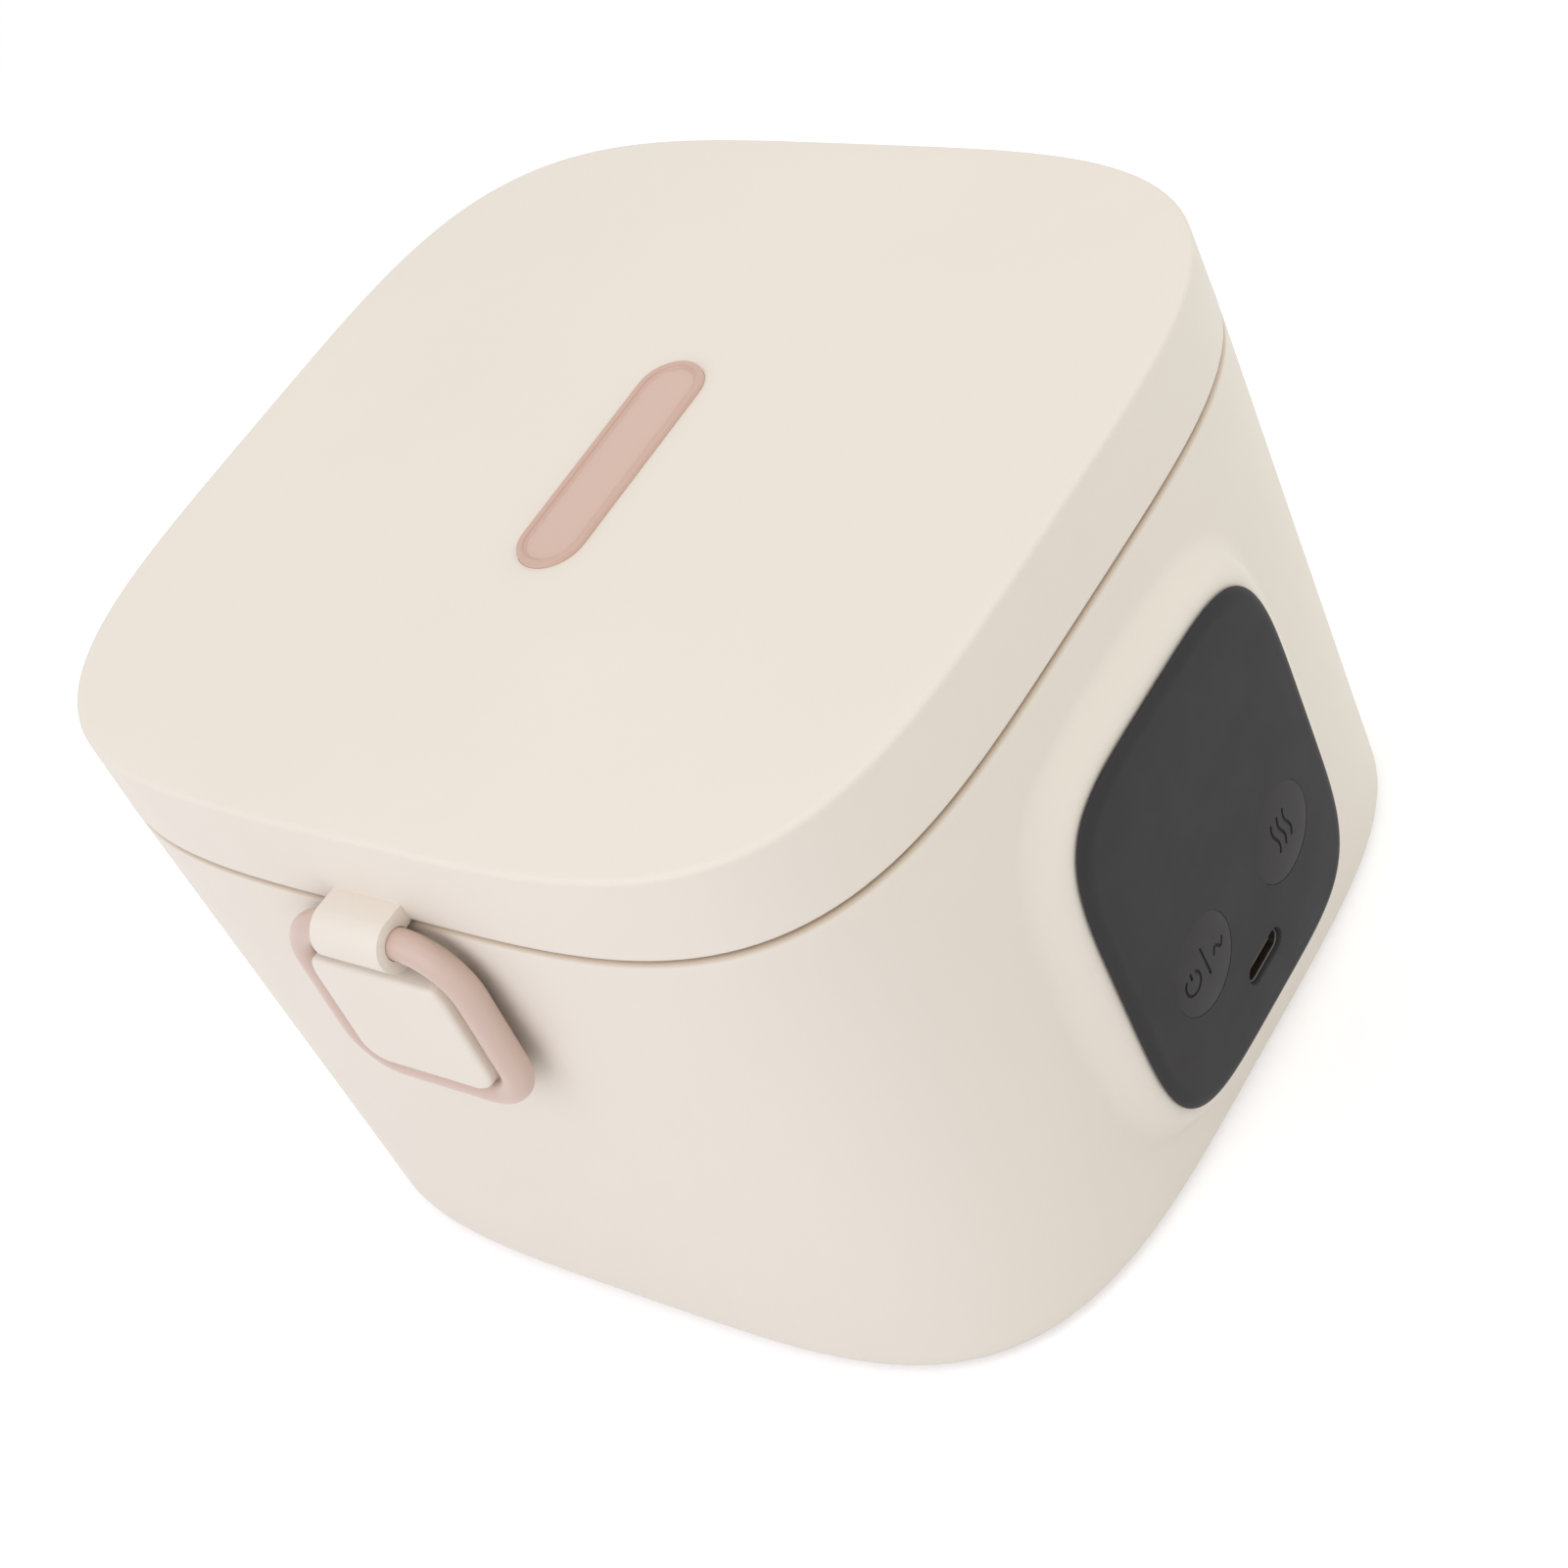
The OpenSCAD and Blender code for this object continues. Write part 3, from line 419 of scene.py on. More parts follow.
def tube_tree():
    """A moulded bar of squarish section that follows a closed path in its own XY plane."""
    s, given = new_tree("Moulded bar", "GeometryNodeTree", {
        "Path": ("Geometry", None),
        "Half Thickness": ("Float", 0.0022),
        "Half Width": ("Float", 0.0022),
        "Squareness": ("Float", 2.4),
        "Sides": ("Int", 40),
        "Material": ("Material", None),
    }, {"Geometry": "Geometry"})
    path = s.get("GeometryNodeMeshToCurve", {0: given["Path"]})
    upright = s.get("GeometryNodeSetCurveNormal", {0: path}, mode="Z_UP")
    circle = {"Resolution": given["Sides"], "Radius": 1.0}
    section = s.get("GeometryNodeCurvePrimitiveCircle", circle, mode="RADIUS")
    turn = s.get("GeometryNodeSplineParameter", output="Factor") * (2 * math.pi)
    cosine, sine = s.math("COSINE", turn), s.math("SINE", turn)
    norm = s.norm(cosine, sine, given["Squareness"])
    across, thick = cosine / norm * given["Half Width"], sine / norm * given["Half Thickness"]
    place = s.get("ShaderNodeCombineXYZ", {0: across, 1: thick})
    shaped = s.get("GeometryNodeSetPosition", {"Geometry": section, "Position": place})
    swept = s.get("GeometryNodeCurveToMesh", {"Curve": upright, "Profile Curve": shaped})
    return s.close(swept, given["Material"])


def repeat_tree():
    """Puts one finished part at each of a set of points."""
    s, given = new_tree("Repeated parts", "GeometryNodeTree", {
        "Points": ("Geometry", None),
        "Part": ("Object", None),
        "Material": ("Material", None),
    }, {"Geometry": "Geometry"})
    part = s.get("GeometryNodeObjectInfo", {0: given["Part"]}, "Geometry")
    placed = s.get("GeometryNodeInstanceOnPoints", {"Points": given["Points"], "Instance": part})
    return s.close(placed, given["Material"])


# ---- Mesh work ----


def tool(name, maker):
    """A geometry tree, made the first time that it is asked for."""
    return bpy.data.node_groups.get(name) or maker()


def new_object(name, points, faces=(), edges=()):
    """An object at the origin, from points in millimetres."""
    mesh = bpy.data.meshes.new(name)
    mesh.from_pydata([(x * MM, y * MM, z * MM) for x, y, z in points], edges, faces)
    made = bpy.data.objects.new(name, mesh)
    bpy.context.scene.collection.objects.link(made)
    return made


def settle(made):
    """Turns an object's modifiers into its mesh."""
    bpy.context.view_layer.update()
    evaluated = made.evaluated_get(bpy.context.evaluated_depsgraph_get())
    mesh = bpy.data.meshes.new_from_object(evaluated)
    made.modifiers.clear()
    old = made.data
    made.data = mesh
    mesh.name = made.name
    bpy.data.meshes.remove(old)
    return made


def grow(made, tree, values):
    """Runs a geometry tree on an object and keeps the result as a plain mesh."""
    modifier = made.modifiers.new(tree.name, "NODES")
    modifier.node_group = tree
    keys = {item.name: item.identifier for item in tree.interface.items_tree if item.in_out == "INPUT"}
    for name, value in values.items():
        modifier[keys[name]] = value
    return settle(made)


def outward(made):
    """Points the faces of one closed solid outwards."""
    work = bmesh.new()
    work.from_mesh(made.data)
    bmesh.ops.remove_doubles(work, verts=work.verts, dist=1e-7)
    bmesh.ops.recalc_face_normals(work, faces=work.faces)
    work.to_mesh(made.data)
    work.free()
    return made


def drop(made):
    mesh = made.data
    bpy.data.objects.remove(made)
    bpy.data.meshes.remove(mesh)


def cut_or_join(made, others, operation="UNION"):
    """One solid from several, with the last ones used up."""
    for other in others:
        modifier = made.modifiers.new(operation, "BOOLEAN")
        modifier.object = other
        modifier.operation = operation
        modifier.solver = "MANIFOLD"
    settle(made)
    for other in others:
        drop(other)
    return made


def soften(made, angle):
    """Smooth shading, apart from edges sharper than the angle."""
    work = bmesh.new()
    work.from_mesh(made.data)
    bmesh.ops.remove_doubles(work, verts=work.verts, dist=1e-7)
    bmesh.ops.dissolve_degenerate(work, edges=work.edges, dist=1e-7)
    limit = math.radians(angle)
    for face in work.faces:
        face.smooth = True
    for edge in work.edges:
        edge.smooth = len(edge.link_faces) == 2 and edge.calc_face_angle(0.0) < limit
    work.to_mesh(made.data)
    work.free()
    return made


def finish_piece(made, body, material, nodes=(), angle=SHARP):
    """Shades a piece, gives it its finish, and puts it on its body."""
    soften(made, angle)
    finishes_used = made.data.materials
    if not finishes_used:
        finishes_used.append(material)
    for index, used in enumerate(finishes_used):
        if used is None:
            finishes_used[index] = material
    if "outer" in made.data.attributes:
        made.data.attributes.remove(made.data.attributes["outer"])
    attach(made, body)
    if nodes:
        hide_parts(*nodes)
    return made


def fan(start, end, steps):
    """Angles in radians, in even steps between two given in degrees."""
    return [math.radians(start + (end - start) * i / steps) for i in range(steps + 1)]


def arc(x, z, r, start, end, steps=6):
    """Points of a round edge, from one angle in degrees to another."""
    return [(x + r * math.cos(t), z + r * math.sin(t)) for t in fan(start, end, steps)]


def squircle(name, profile, half_w=HALF_W, half_d=HALF_D, squareness=4.0, columns=192, closed=False,
             middle=BODY_Y, material=None, place=None):
    """A solid whose profile runs round a squircle. Profile rows are (inset, height) or (inset, height, outer)."""
    rows = [(min(p[0], POLE), p[2] if len(p) > 2 else 0.0, p[1]) for p in profile]
    made = new_object(name, [(x, mark * 1000, z) for x, mark, z in rows])
    grow(made, tool("Squircle moulding", squircle_tree), {
        "Half Width": half_w * MM,
        "Half Depth": half_d * MM,
        "Squareness": squareness,
        "Middle Y": middle * MM,
        "Columns": columns,
        "Closed Rows": int(closed),
        "Material": material,
    })
    if place is not None:
        made.data.transform(place)
    return outward(made)


def turned(name, profile, place=None, columns=96, material=None):
    """A round solid from (radius, height) rows, with its ends on the axis."""
    reach = max(r for r, _ in profile)
    rows = [(reach - r if r > 0 else POLE, h) for r, h in profile]
    return squircle(name, rows, reach, reach, 2.0, columns, False, 0.0, material, place)


def hinge_bore(name, r, reach, columns):
    """A cutter for the hinge pin's hole that reaches as far to either side."""
    place = Matrix.Translation(Vector((HINGE_X, BODY_Y, HINGE_Z)) * MM) @ Matrix.Rotation(math.radians(90), 4, "X")
    return turned(name, [(0, -reach), (r, -reach), (r, reach), (0, reach)], place, columns)


def on_front(x=0.0, z=0.0):
    """Takes XY drawings with a height to the front wall: X stays, Y goes up, and the height goes out of the wall."""
    return Matrix.Translation(Vector((x, BODY_Y - HALF_D, z)) * MM) @ Matrix.Rotation(math.radians(90), 4, "X")


def along_y(outline, y_low, y_high, round_edge):
    """A block whose outline, given as (x, z), runs along Y, with its two end edges rounded."""
    made = new_object("block", [(x, y_low, z) for x, z in outline], [tuple(range(len(outline)))])
    work = bmesh.new()
    work.from_mesh(made.data)
    grown = bmesh.ops.extrude_face_region(work, geom=list(work.faces))
    moved = [v for v in grown["geom"] if isinstance(v, bmesh.types.BMVert)]
    bmesh.ops.translate(work, verts=moved, vec=(0, (y_high - y_low) * MM, 0))
    if len([f for f in work.faces if abs(f.normal.y) > 0.9]) < 2:
        bmesh.ops.contextual_create(work, geom=[e for e in work.edges if e.is_boundary])
    bmesh.ops.recalc_face_normals(work, faces=work.faces)
    ends = {y_low * MM, y_high * MM}
    edges = [e for e in work.edges if any(all(abs(v.co.y - end) < 1e-6 for v in e.verts) for end in ends)]
    bmesh.ops.bevel(
        work, geom=edges, offset=round_edge * MM, segments=3, profile=0.5, affect="EDGES", clamp_overlap=True)
    bmesh.ops.recalc_face_normals(work, faces=work.faces)
    work.to_mesh(made.data)
    work.free()
    return made


def stack(name, loops):
    """A solid with flat ends through a list of loops that all have the same number of points."""
    count = len(loops[0])
    points = [p for loop in loops for p in loop]
    faces = []
    for low in range(0, len(points) - count, count):
        high = low + count
        for i in range(count):
            j = (i + 1) % count
            faces.append((low + i, low + j, high + j, high + i))
    faces += [tuple(range(count)), tuple(range(len(points) - count, len(points)))]
    return outward(new_object(name, points, faces))


def by_socket(outline, out):
    """A loop round the socket, at a distance in front of the wall."""
    return [(x, BODY_Y - HALF_D - out, SOCKET_Z + z) for x, z in outline]


def corners(x, y, z):
    """The four places that are as far to either side, and to the front and back."""
    return [(sx * x, BODY_Y + sy * y, z) for sx in (-1, 1) for sy in (-1, 1)]


def pill(length, width, inset, steps=24):
    """Outline of a shape with straight sides and half-round ends."""
    r = width / 2 - inset
    half = (length - width) / 2
    right = [(half + r * math.cos(t), r * math.sin(t)) for t in fan(-90, 90, steps)]
    left = [(-half + r * math.cos(t), r * math.sin(t)) for t in fan(90, 270, steps)]
    return right + left


def round_corners(w, top, low, r_top, r_low, steps):
    """Outline of a plate with round corners, from its half width and its top and lower edges."""
    rounds = [
        (w - r_top, top - r_top, r_top, 0),
        (-w + r_top, top - r_top, r_top, 90),
        (-w + r_low, low + r_low, r_low, 180),
        (w - r_low, low + r_low, r_low, 270),
    ]
    return [point for x, y, r, start in rounds for point in arc(x, y, r, start, start + 90, steps)]


# ---- Settings ----


def tint(name, description, default):
    return FloatVectorProperty(
        name=name, description=description, subtype="COLOR_GAMMA", size=3, min=0, max=1, default=default)


def length(name, description, default, low, high):
    """A length with its limits, given in millimetres and kept in metres."""
    return FloatProperty(
        name=name, description=description, subtype="DISTANCE", unit="LENGTH",
        default=default * MM, min=low * MM, max=high * MM)


def exponent(description, default):
    return FloatProperty(name="Squareness", description=description, default=default, min=2, max=8)


def wattage(name, description, default):
    return FloatProperty(
        name=name, description=description, subtype="POWER", unit="POWER", default=default, min=0, max=50)


class Palette(bpy.types.PropertyGroup):
    cream: tint("Cream", "Colour of the shell, lid and latch pad", (0.925, 0.895, 0.850))
    liner: tint("Liner", "Colour of the inner mouldings", (0.900, 0.880, 0.850))
    blush: tint("Blush", "Colour of the latch ring", (0.828, 0.730, 0.680))
    badge: tint("Badge", "Colour of the badge", (0.842, 0.726, 0.668))
    # The buttons' paler copy of this colour is painted light for their lit domes.
    panel: tint("Panel", "Colour of the control panel. Its buttons are a little paler", (0.234, 0.230, 0.234))


class BodySettings(bpy.types.PropertyGroup):
    squareness: exponent("Exponent of the body's squircle outline", 4.0)
    columns: IntProperty(
        name="Columns", description="Points round the shell's outline", default=448, min=96, max=720)
    rows: IntProperty(name="Rows", description="Points up the shell's wall", default=126, min=24, max=240)
    low_edge: length("Lower Edge", "Rounding of the shell's lower edge", 1.6, 0.2, 4)
    top_edge: length("Seam Edge", "Rounding of the edges at the seam", 0.7, 0.05, 1)
    slope: length("Plateau Slope", "Width of the soft slope round the panel", 6.6, 2, 9)


class LidSettings(bpy.types.PropertyGroup):
    edge: length("Top Edge", "Rounding of the lid's upper edge", 0.9, 0.3, 3)
    badge_length: length("Badge Length", "Length of the badge", 40, 20, 60)
    badge_width: length("Badge Width", "Width of the badge", 10.4, 6, 16)
    badge_proud: length("Badge Height", "How far the badge's rim stands out of the lid", 0.7, 0.2, 1.2)


class PanelSettings(bpy.types.PropertyGroup):
    width: length("Width", "Width of the panel", 53.5, 40, 70)
    height: length("Height", "Height of the panel", 62.5, 50, 75)
    squareness: exponent("Exponent of the panel's outline", 4.6)
    thickness: length("Thickness", "Thickness of the panel at its middle", 1.9, 1, 3)
    edge: length("Edge", "Width of the panel's round front edge", 2.2, 0.5, 4)
    dome: length("Button Dome", "Height of a button over the panel", 0.45, 0.1, 1)


class StudioSettings(bpy.types.PropertyGroup):
    lens: FloatProperty(
        name="Lens", description="Focal length of the camera", subtype="DISTANCE_CAMERA", unit="CAMERA",
        default=69.09, min=20, max=200)
    sky: FloatProperty(
        name="Sky", description="Strength of the even light round the lunch box", default=0.70, min=0, max=2)
    key: wattage("Key", "Power of the large lamp", 2.0)
    top: wattage("Top", "Power of the lamp above", 1.15)
    front: wattage("Front", "Power of the lamp in front", 0.4)
    side: wattage("Side", "Power of the lamp beside", 0.9)


class LunchBoxSettings(bpy.types.PropertyGroup):
    palette: PointerProperty(type=Palette, name="Palette", description="Colours of the mouldings")
    body: PointerProperty(type=BodySettings, name="Body", description="Sizes of the shell")
    lid: PointerProperty(type=LidSettings, name="Lid", description="Sizes of the lid and badge")
    panel: PointerProperty(type=PanelSettings, name="Panel", description="Sizes of the control panel")
    studio: PointerProperty(type=StudioSettings, name="Studio", description="Camera and lamps")


_finishes = []


def finishes():
    """The finishes, made once from the palette."""
    if not _finishes:
        _finishes.append(Finishes(bpy.context.scene.lunch_box.palette))
    return _finishes[0]


# ---- Pieces ----


class LUNCHBOX_OT_shell(bpy.types.Operator):
    """Build the outer shell with its plateau, hinge ears and catch bead"""

    bl_idname = "lunchbox.shell"
    bl_label = "Outer Shell"

    def execute(self, context):
        size = context.scene.lunch_box.body
        panel = context.scene.lunch_box.panel
        low_r, top_r = size.low_edge / MM, size.top_edge / MM
        cream = finishes().housing()
        height = SEAM - SHELL_LOW

        def wall_inset(z):
            return -SHELL_DRAFT * (1 - (z - SHELL_LOW) / height)

        low_x = wall_inset(SHELL_LOW + low_r)
        outside = [(x, z, 1.0) for x, z in arc(low_x + low_r, SHELL_LOW + low_r, low_r, 270, 180, 8)]
        top_z = SEAM - top_r
        first = SHELL_LOW + low_r
        outside += [
            (wall_inset(z), z, 1.0)
            for z in (first + (top_z - first) * i / size.rows for i in range(1, size.rows + 1))
        ]
        outside += [(x, z, 0.0) for x, z in arc(top_r, top_z, top_r, 180, 90, 6)[1:]]
        inside = [(WALL - 0.2, SEAM), (WALL, SEAM - 0.2), (WALL, SHELL_LOW + 0.2), (WALL - 0.2, SHELL_LOW)]
        shell = squircle(
            "shell_moulding", outside + inside, HALF_W, HALF_D, size.squareness, size.columns, True, material=cream
        )
        grow(shell, tool("Panel plateau", plateau_tree), {
            "Half Width": panel.width / 2,
            "Half Height": panel.height / 2,
            "Squareness": panel.squareness,
            "Centre Z": PANEL_Z * MM,
            "Face Y": (BODY_Y - HALF_D - PLATEAU) * MM,
            "Flat Margin": 0.3 * MM,
            "Slope": size.slope,
            "Material": cream,
        })
        outward(shell)
        cut_or_join(shell, self.additions())
        cut_or_join(shell, self.cuts(panel), "DIFFERENCE")
        finish_piece(shell, "base", cream, ["outer_shell"])
        return {"FINISHED"}

    def additions(self):
        """The ears of the hinge, the catch bead and the ledge for the well."""
        made = []
        x, z, r = HINGE_X, HINGE_Z, KNUCKLE_R
        outline = arc(x, z, r, -15, 180, 28)
        outline += [(x - r, SEAM - 0.1), (HALF_W - 1.1, SEAM - 0.1)]
        outline += [(HALF_W - 1.1, SEAM - 10), (HALF_W + 1.6, SEAM - 10)]
        for side in (-1, 1):
            inner = side * (KNUCKLE_L / 2 + EAR_GAP)
            outer = inner + side * EAR_L
            made.append(along_y(outline, BODY_Y + min(inner, outer), BODY_Y + max(inner, outer), 0.35))
        bead = [(1.1, 0), (-1.45, 0), (-1.6, 0.15), (-1.6, 0.4), (-1.4, 0.8), (0, 2.6), (1.1, 2.6)]
        made.append(along_y([(-HALF_W + x, BEAD_Z + z) for x, z in bead], BODY_Y - 6, BODY_Y + 6, 0.15))
        made.append(squircle(
            "ledge", [(1.8, 76.4), (1.8, 78.4), (6.4, 78.4), (6.4, 76.4)], closed=True, columns=96,
            material=finishes().housing()))
        return made

    def cuts(self, panel):
        """The pocket behind the panel's seat, and the holes in the seat and the ears."""
        made = [squircle(
            "pocket", [(POLE, -6.2), (2.3, -6.2), (2.3, 2.0), (POLE, 2.0)], panel.width / 2 / MM,
            panel.height / 2 / MM, panel.squareness, 96, middle=0.0, place=on_front(0, PANEL_Z))]
        r, deep = 8.6, 6.0
        for x in (-BUTTON_X, BUTTON_X):
            made.append(turned("hole", [(0, 0.0), (r, 0.0), (r, deep), (0, deep)], on_front(x, BUTTON_Z), 64))
        slot = pill(SOCKET_W + 0.6, SOCKET_H + 0.6, 0)
        made.append(stack("slot", [by_socket(slot, out) for out in (0.0, deep)]))
        made.append(hinge_bore("pin_hole", PIN_R + 0.02, 30, 48))
        return made


class LUNCHBOX_OT_lid(bpy.types.Operator):
    """Build the lid with its curled tab and hinge knuckle"""

    bl_idname = "lunchbox.lid"
    bl_label = "Lid"

    def execute(self, context):
        size = context.scene.lunch_box.lid
        body = context.scene.lunch_box.body
        cream = finishes().housing()
        r, e = size.edge / MM, body.top_edge / MM
        roof = LID_TOP - 2.4
        profile = [(POLE, LID_TOP), (44, LID_TOP), (24, LID_TOP), (10, LID_TOP), (4, LID_TOP)]
        profile += arc(LID_DRAFT + r, LID_TOP - r, r, 90, 180, 8)
        profile += [(0.1, LID_EDGE + 5), (0.0, LID_EDGE + 1.2)]
        profile += arc(e, LID_EDGE + e, e, 180, 270, 6)
        profile += [(WALL - 0.2, LID_EDGE), (WALL, LID_EDGE + 0.2), (WALL, 94.1), (3.6, 94.1), (3.6, roof - 0.6)]
        profile += arc(4.2, roof - 0.6, 0.6, 180, 90, 4)
        profile += [(30, roof), (POLE, roof)]
        lid = squircle("lid_moulding", profile, squareness=body.squareness, columns=256, material=cream)
        cut_or_join(lid, [self.tab(), self.knuckle()])
        seat = pill(size.badge_length / MM + 0.1, size.badge_width / MM + 0.1, 0)
        cutters = [stack("seat", [[(x, BODY_Y + y, z) for x, y in seat] for z in (LID_TOP - 0.6, LID_TOP + 1)])]
        cutters.append(hinge_bore("knuckle_bore", PIN_R + 0.06, 14, 64))
        cut_or_join(lid, cutters, "DIFFERENCE")
        finish_piece(lid, "lid", cream, ["lid_shell"])
        return {"FINISHED"}

    def tab(self):
        """The tab that curls round the latch's bar, open towards the wall."""
        x, z = -BAR_OFF, BAR_Z
        bore = RING_R + 0.08
        outline = [(1.1, TAB_TOP), (0.0, TAB_TOP)]
        outline += arc(x, z, CURL_R, 88, 282, 44)
        outline += [(x + 1.2, z - math.sqrt(CURL_R**2 - 1.44)), (x + 1.2, z - math.sqrt(bore**2 - 1.44))]
        outline += arc(x, z, bore, -60, -346, 44)
        outline += [(x + math.sqrt(bore**2 - 0.25), LID_EDGE), (1.1, LID_EDGE)]
        return along_y([(-HALF_W + px, pz) for px, pz in outline], BODY_Y - TAB_W / 2, BODY_Y + TAB_W / 2, 0.3)

    def knuckle(self):
        x, z, r = HINGE_X, HINGE_Z, KNUCKLE_R
        outline = [(HALF_W - 1.1, LID_EDGE + 9), (HALF_W + 0.25, LID_EDGE + 8.9), (HALF_W + 0.9, LID_EDGE + 8.3)]
        outline += arc(x, z, r, 32, -158, 34)
        outline += [(x - r * 0.9, LID_EDGE + 0.6), (HALF_W - 1.1, LID_EDGE + 0.6)]
        return along_y(outline, BODY_Y - KNUCKLE_L / 2, BODY_Y + KNUCKLE_L / 2, 0.35)


class LUNCHBOX_OT_badge(bpy.types.Operator):
    """Build the pill-shaped badge with its raised rim"""

    bl_idname = "lunchbox.badge"
    bl_label = "Badge"

    def execute(self, context):
        size = context.scene.lunch_box.lid
        length, width = size.badge_length / MM, size.badge_width / MM
        top = LID_TOP + size.badge_proud / MM
        rows = [(0.0, LID_TOP - 0.6), (0.0, top - 0.3)]
        rows += arc(0.3, top - 0.3, 0.3, 180, 90, 4)[1:]
        rows += arc(0.75, top - 0.25, 0.25, 90, 0, 3)
        hollow = [(1.05, 0.42), (1.15, 0.47), (1.3, 0.47), (1.42, 0.4), (1.6, 0.35), (3.2, 0.35)]
        rows += [(inset, top - deep) for inset, deep in hollow]
        loops = [[(x, BODY_Y + y, z) for x, y in pill(length, width, inset)] for inset, z in rows]
        badge = stack("badge_plate", loops)
        finish_piece(badge, "lid", finishes().badge(), ["badge"], 50)
        return {"FINISHED"}


def latch_place():
    """From the latch's flat drawing, X across, Y up and Z outwards, to where it hangs."""
    turn = Matrix.Rotation(LEAN, 4, "Y")
    flat = Matrix(((0, 0, -1, 0), (-1, 0, 0, 0), (0, 1, 0, 0), (0, 0, 0, 1)))
    return Matrix.Translation(Vector((-HALF_W - BAR_OFF, BODY_Y, BAR_Z)) * MM) @ turn @ flat


class LUNCHBOX_OT_latch(bpy.types.Operator):
    """Build the latch's ring and the pad that fills it"""

    bl_idname = "lunchbox.latch"
    bl_label = "Latch"

    def execute(self, context):
        self.ring()
        self.pad()
        return {"FINISHED"}

    def ring(self):
        path = round_corners(RING_W / 2, 0.0, -RING_H, RING_TOP_R, RING_LOW_R, 24)
        points = [(x, y, 0.0) for x, y in path]
        edges = [(i, (i + 1) % len(points)) for i in range(len(points))]
        ring = new_object("latch_ring_moulding", points, (), edges)
        grow(ring, tool("Moulded bar", tube_tree), {
            "Half Thickness": RING_R * MM,
            "Half Width": RING_R * MM,
            "Squareness": 2.0,
            "Sides": 40,
            "Material": finishes().pink(),
        })
        ring.data.transform(latch_place())
        outward(ring)
        finish_piece(ring, "latch", finishes().pink(), ["latch_ring"], 60)

    def pad(self):
        edge = 0.9
        rows = [(0.0, PAD_BACK), (0.0, PAD_FRONT - edge)]
        rows += arc(edge, PAD_FRONT - edge, edge, 180, 96, 7)[1:]
        rows += [(1.3, PAD_FRONT + 0.04), (2.0, PAD_FRONT + 0.09), (2.8, PAD_FRONT + 0.12)]
        pad = stack("latch_pad_moulding", [
            [(x, y, z) for x, y in self.inner_outline(PAD_GAP + inset, PAD_TOP + inset)] for inset, z in rows
        ])
        flange = stack("flange", [
            [(x, y, z) for x, y in self.inner_outline(0.8, PAD_TOP)] for z in (PAD_BACK, PAD_BACK + 1.2)
        ])
        z = -HOOK_REACH
        hook = [(-0.4, -HOOK_DROP), (-0.4, HOOK_H - HOOK_DROP), (z, HOOK_H - HOOK_DROP), (z, -HOOK_DROP)]
        ends = [[(x, y, z) for z, y in hook] for x in (-5.5, 5.5)]
        cut_or_join(pad, [flange, stack("hook", ends)])
        pad.data.transform(latch_place())
        finish_piece(pad, "latch", finishes().cream(), ["latch_pad"], 40)

    def inner_outline(self, gap, top):
        """The ring's inner outline drawn in by a gap, and cut below the curl with soft corners."""
        steps = 14
        turn = max(PAD_CORNER - max(gap - PAD_GAP, 0.0), 0.25)
        high, low = RING_TOP_R - gap, max(RING_LOW_R - gap, 0.1)
        centre_x, centre_y = RING_W / 2 - RING_TOP_R, -RING_TOP_R
        rise = -top - turn - centre_y
        reach = math.sqrt(max((high - turn) ** 2 - rise**2, 0.0))
        meet = math.degrees(math.atan2(rise, reach))
        low_x, low_y = RING_W / 2 - RING_LOW_R, RING_LOW_R - RING_H
        right = arc(low_x, low_y, low, -90, 0, steps)
        right += arc(centre_x, centre_y, high, 0, meet, steps)
        right += arc(centre_x + reach, -top - turn, turn, meet, 90, steps)[1:]
        return right + [(-x, y) for x, y in reversed(right)]


class LUNCHBOX_OT_panel(bpy.types.Operator):
    """Build the control panel with its holes"""

    bl_idname = "lunchbox.panel"
    bl_label = "Control Panel"

    def execute(self, context):
        size = context.scene.lunch_box.panel
        dark = finishes().dark()
        r, t = size.edge / MM, size.thickness / MM
        base = t - 0.3
        foot, low = PLATEAU + 0.24, PLATEAU + 0.38
        profile = [(POLE, PLATEAU), (0.45, PLATEAU), (0.45, foot), (0.1, foot + 0.03), (0.0, low)]
        profile += [
            (r * (1 - math.cos(a)), low + (PLATEAU + base - low) * math.sin(a)) for a in fan(0, 90, 12)[1:]
        ]
        profile += [
            (r + 8 * k, PLATEAU + base + 0.3 * (1 - (1 - k) ** 2)) for k in (0.12, 0.25, 0.4, 0.6, 0.8, 1.0)
        ]
        profile += [(15, PLATEAU + t), (POLE, PLATEAU + t)]
        panel = squircle(
            "panel_plate", profile, size.width / 2 / MM, size.height / 2 / MM, size.squareness, 224,
            middle=0.0, material=dark, place=on_front(0, PANEL_Z))
        cutters = []
        hole = BUTTON_R + 0.04
        face = PLATEAU + t
        for x in (-BUTTON_X, BUTTON_X):
            rows = [(0, PLATEAU - 1), (hole, PLATEAU - 1), (hole, face + 0.3), (0, face + 0.3)]
            cutters.append(turned("hole", rows, on_front(x, BUTTON_Z), 128))
        slot_rows = [(0.0, PLATEAU - 1), (0.0, face - 0.3), (-0.1, face - 0.12), (-0.35, face + 0.2)]
        cutters.append(stack("slot", [
            by_socket(pill(SOCKET_W + 0.3, SOCKET_H + 0.3, inset), out) for inset, out in slot_rows
        ]))
        cut_or_join(panel, cutters, "DIFFERENCE")
        finish_piece(panel, "base", dark, ["control_panel"], 38)
        return {"FINISHED"}


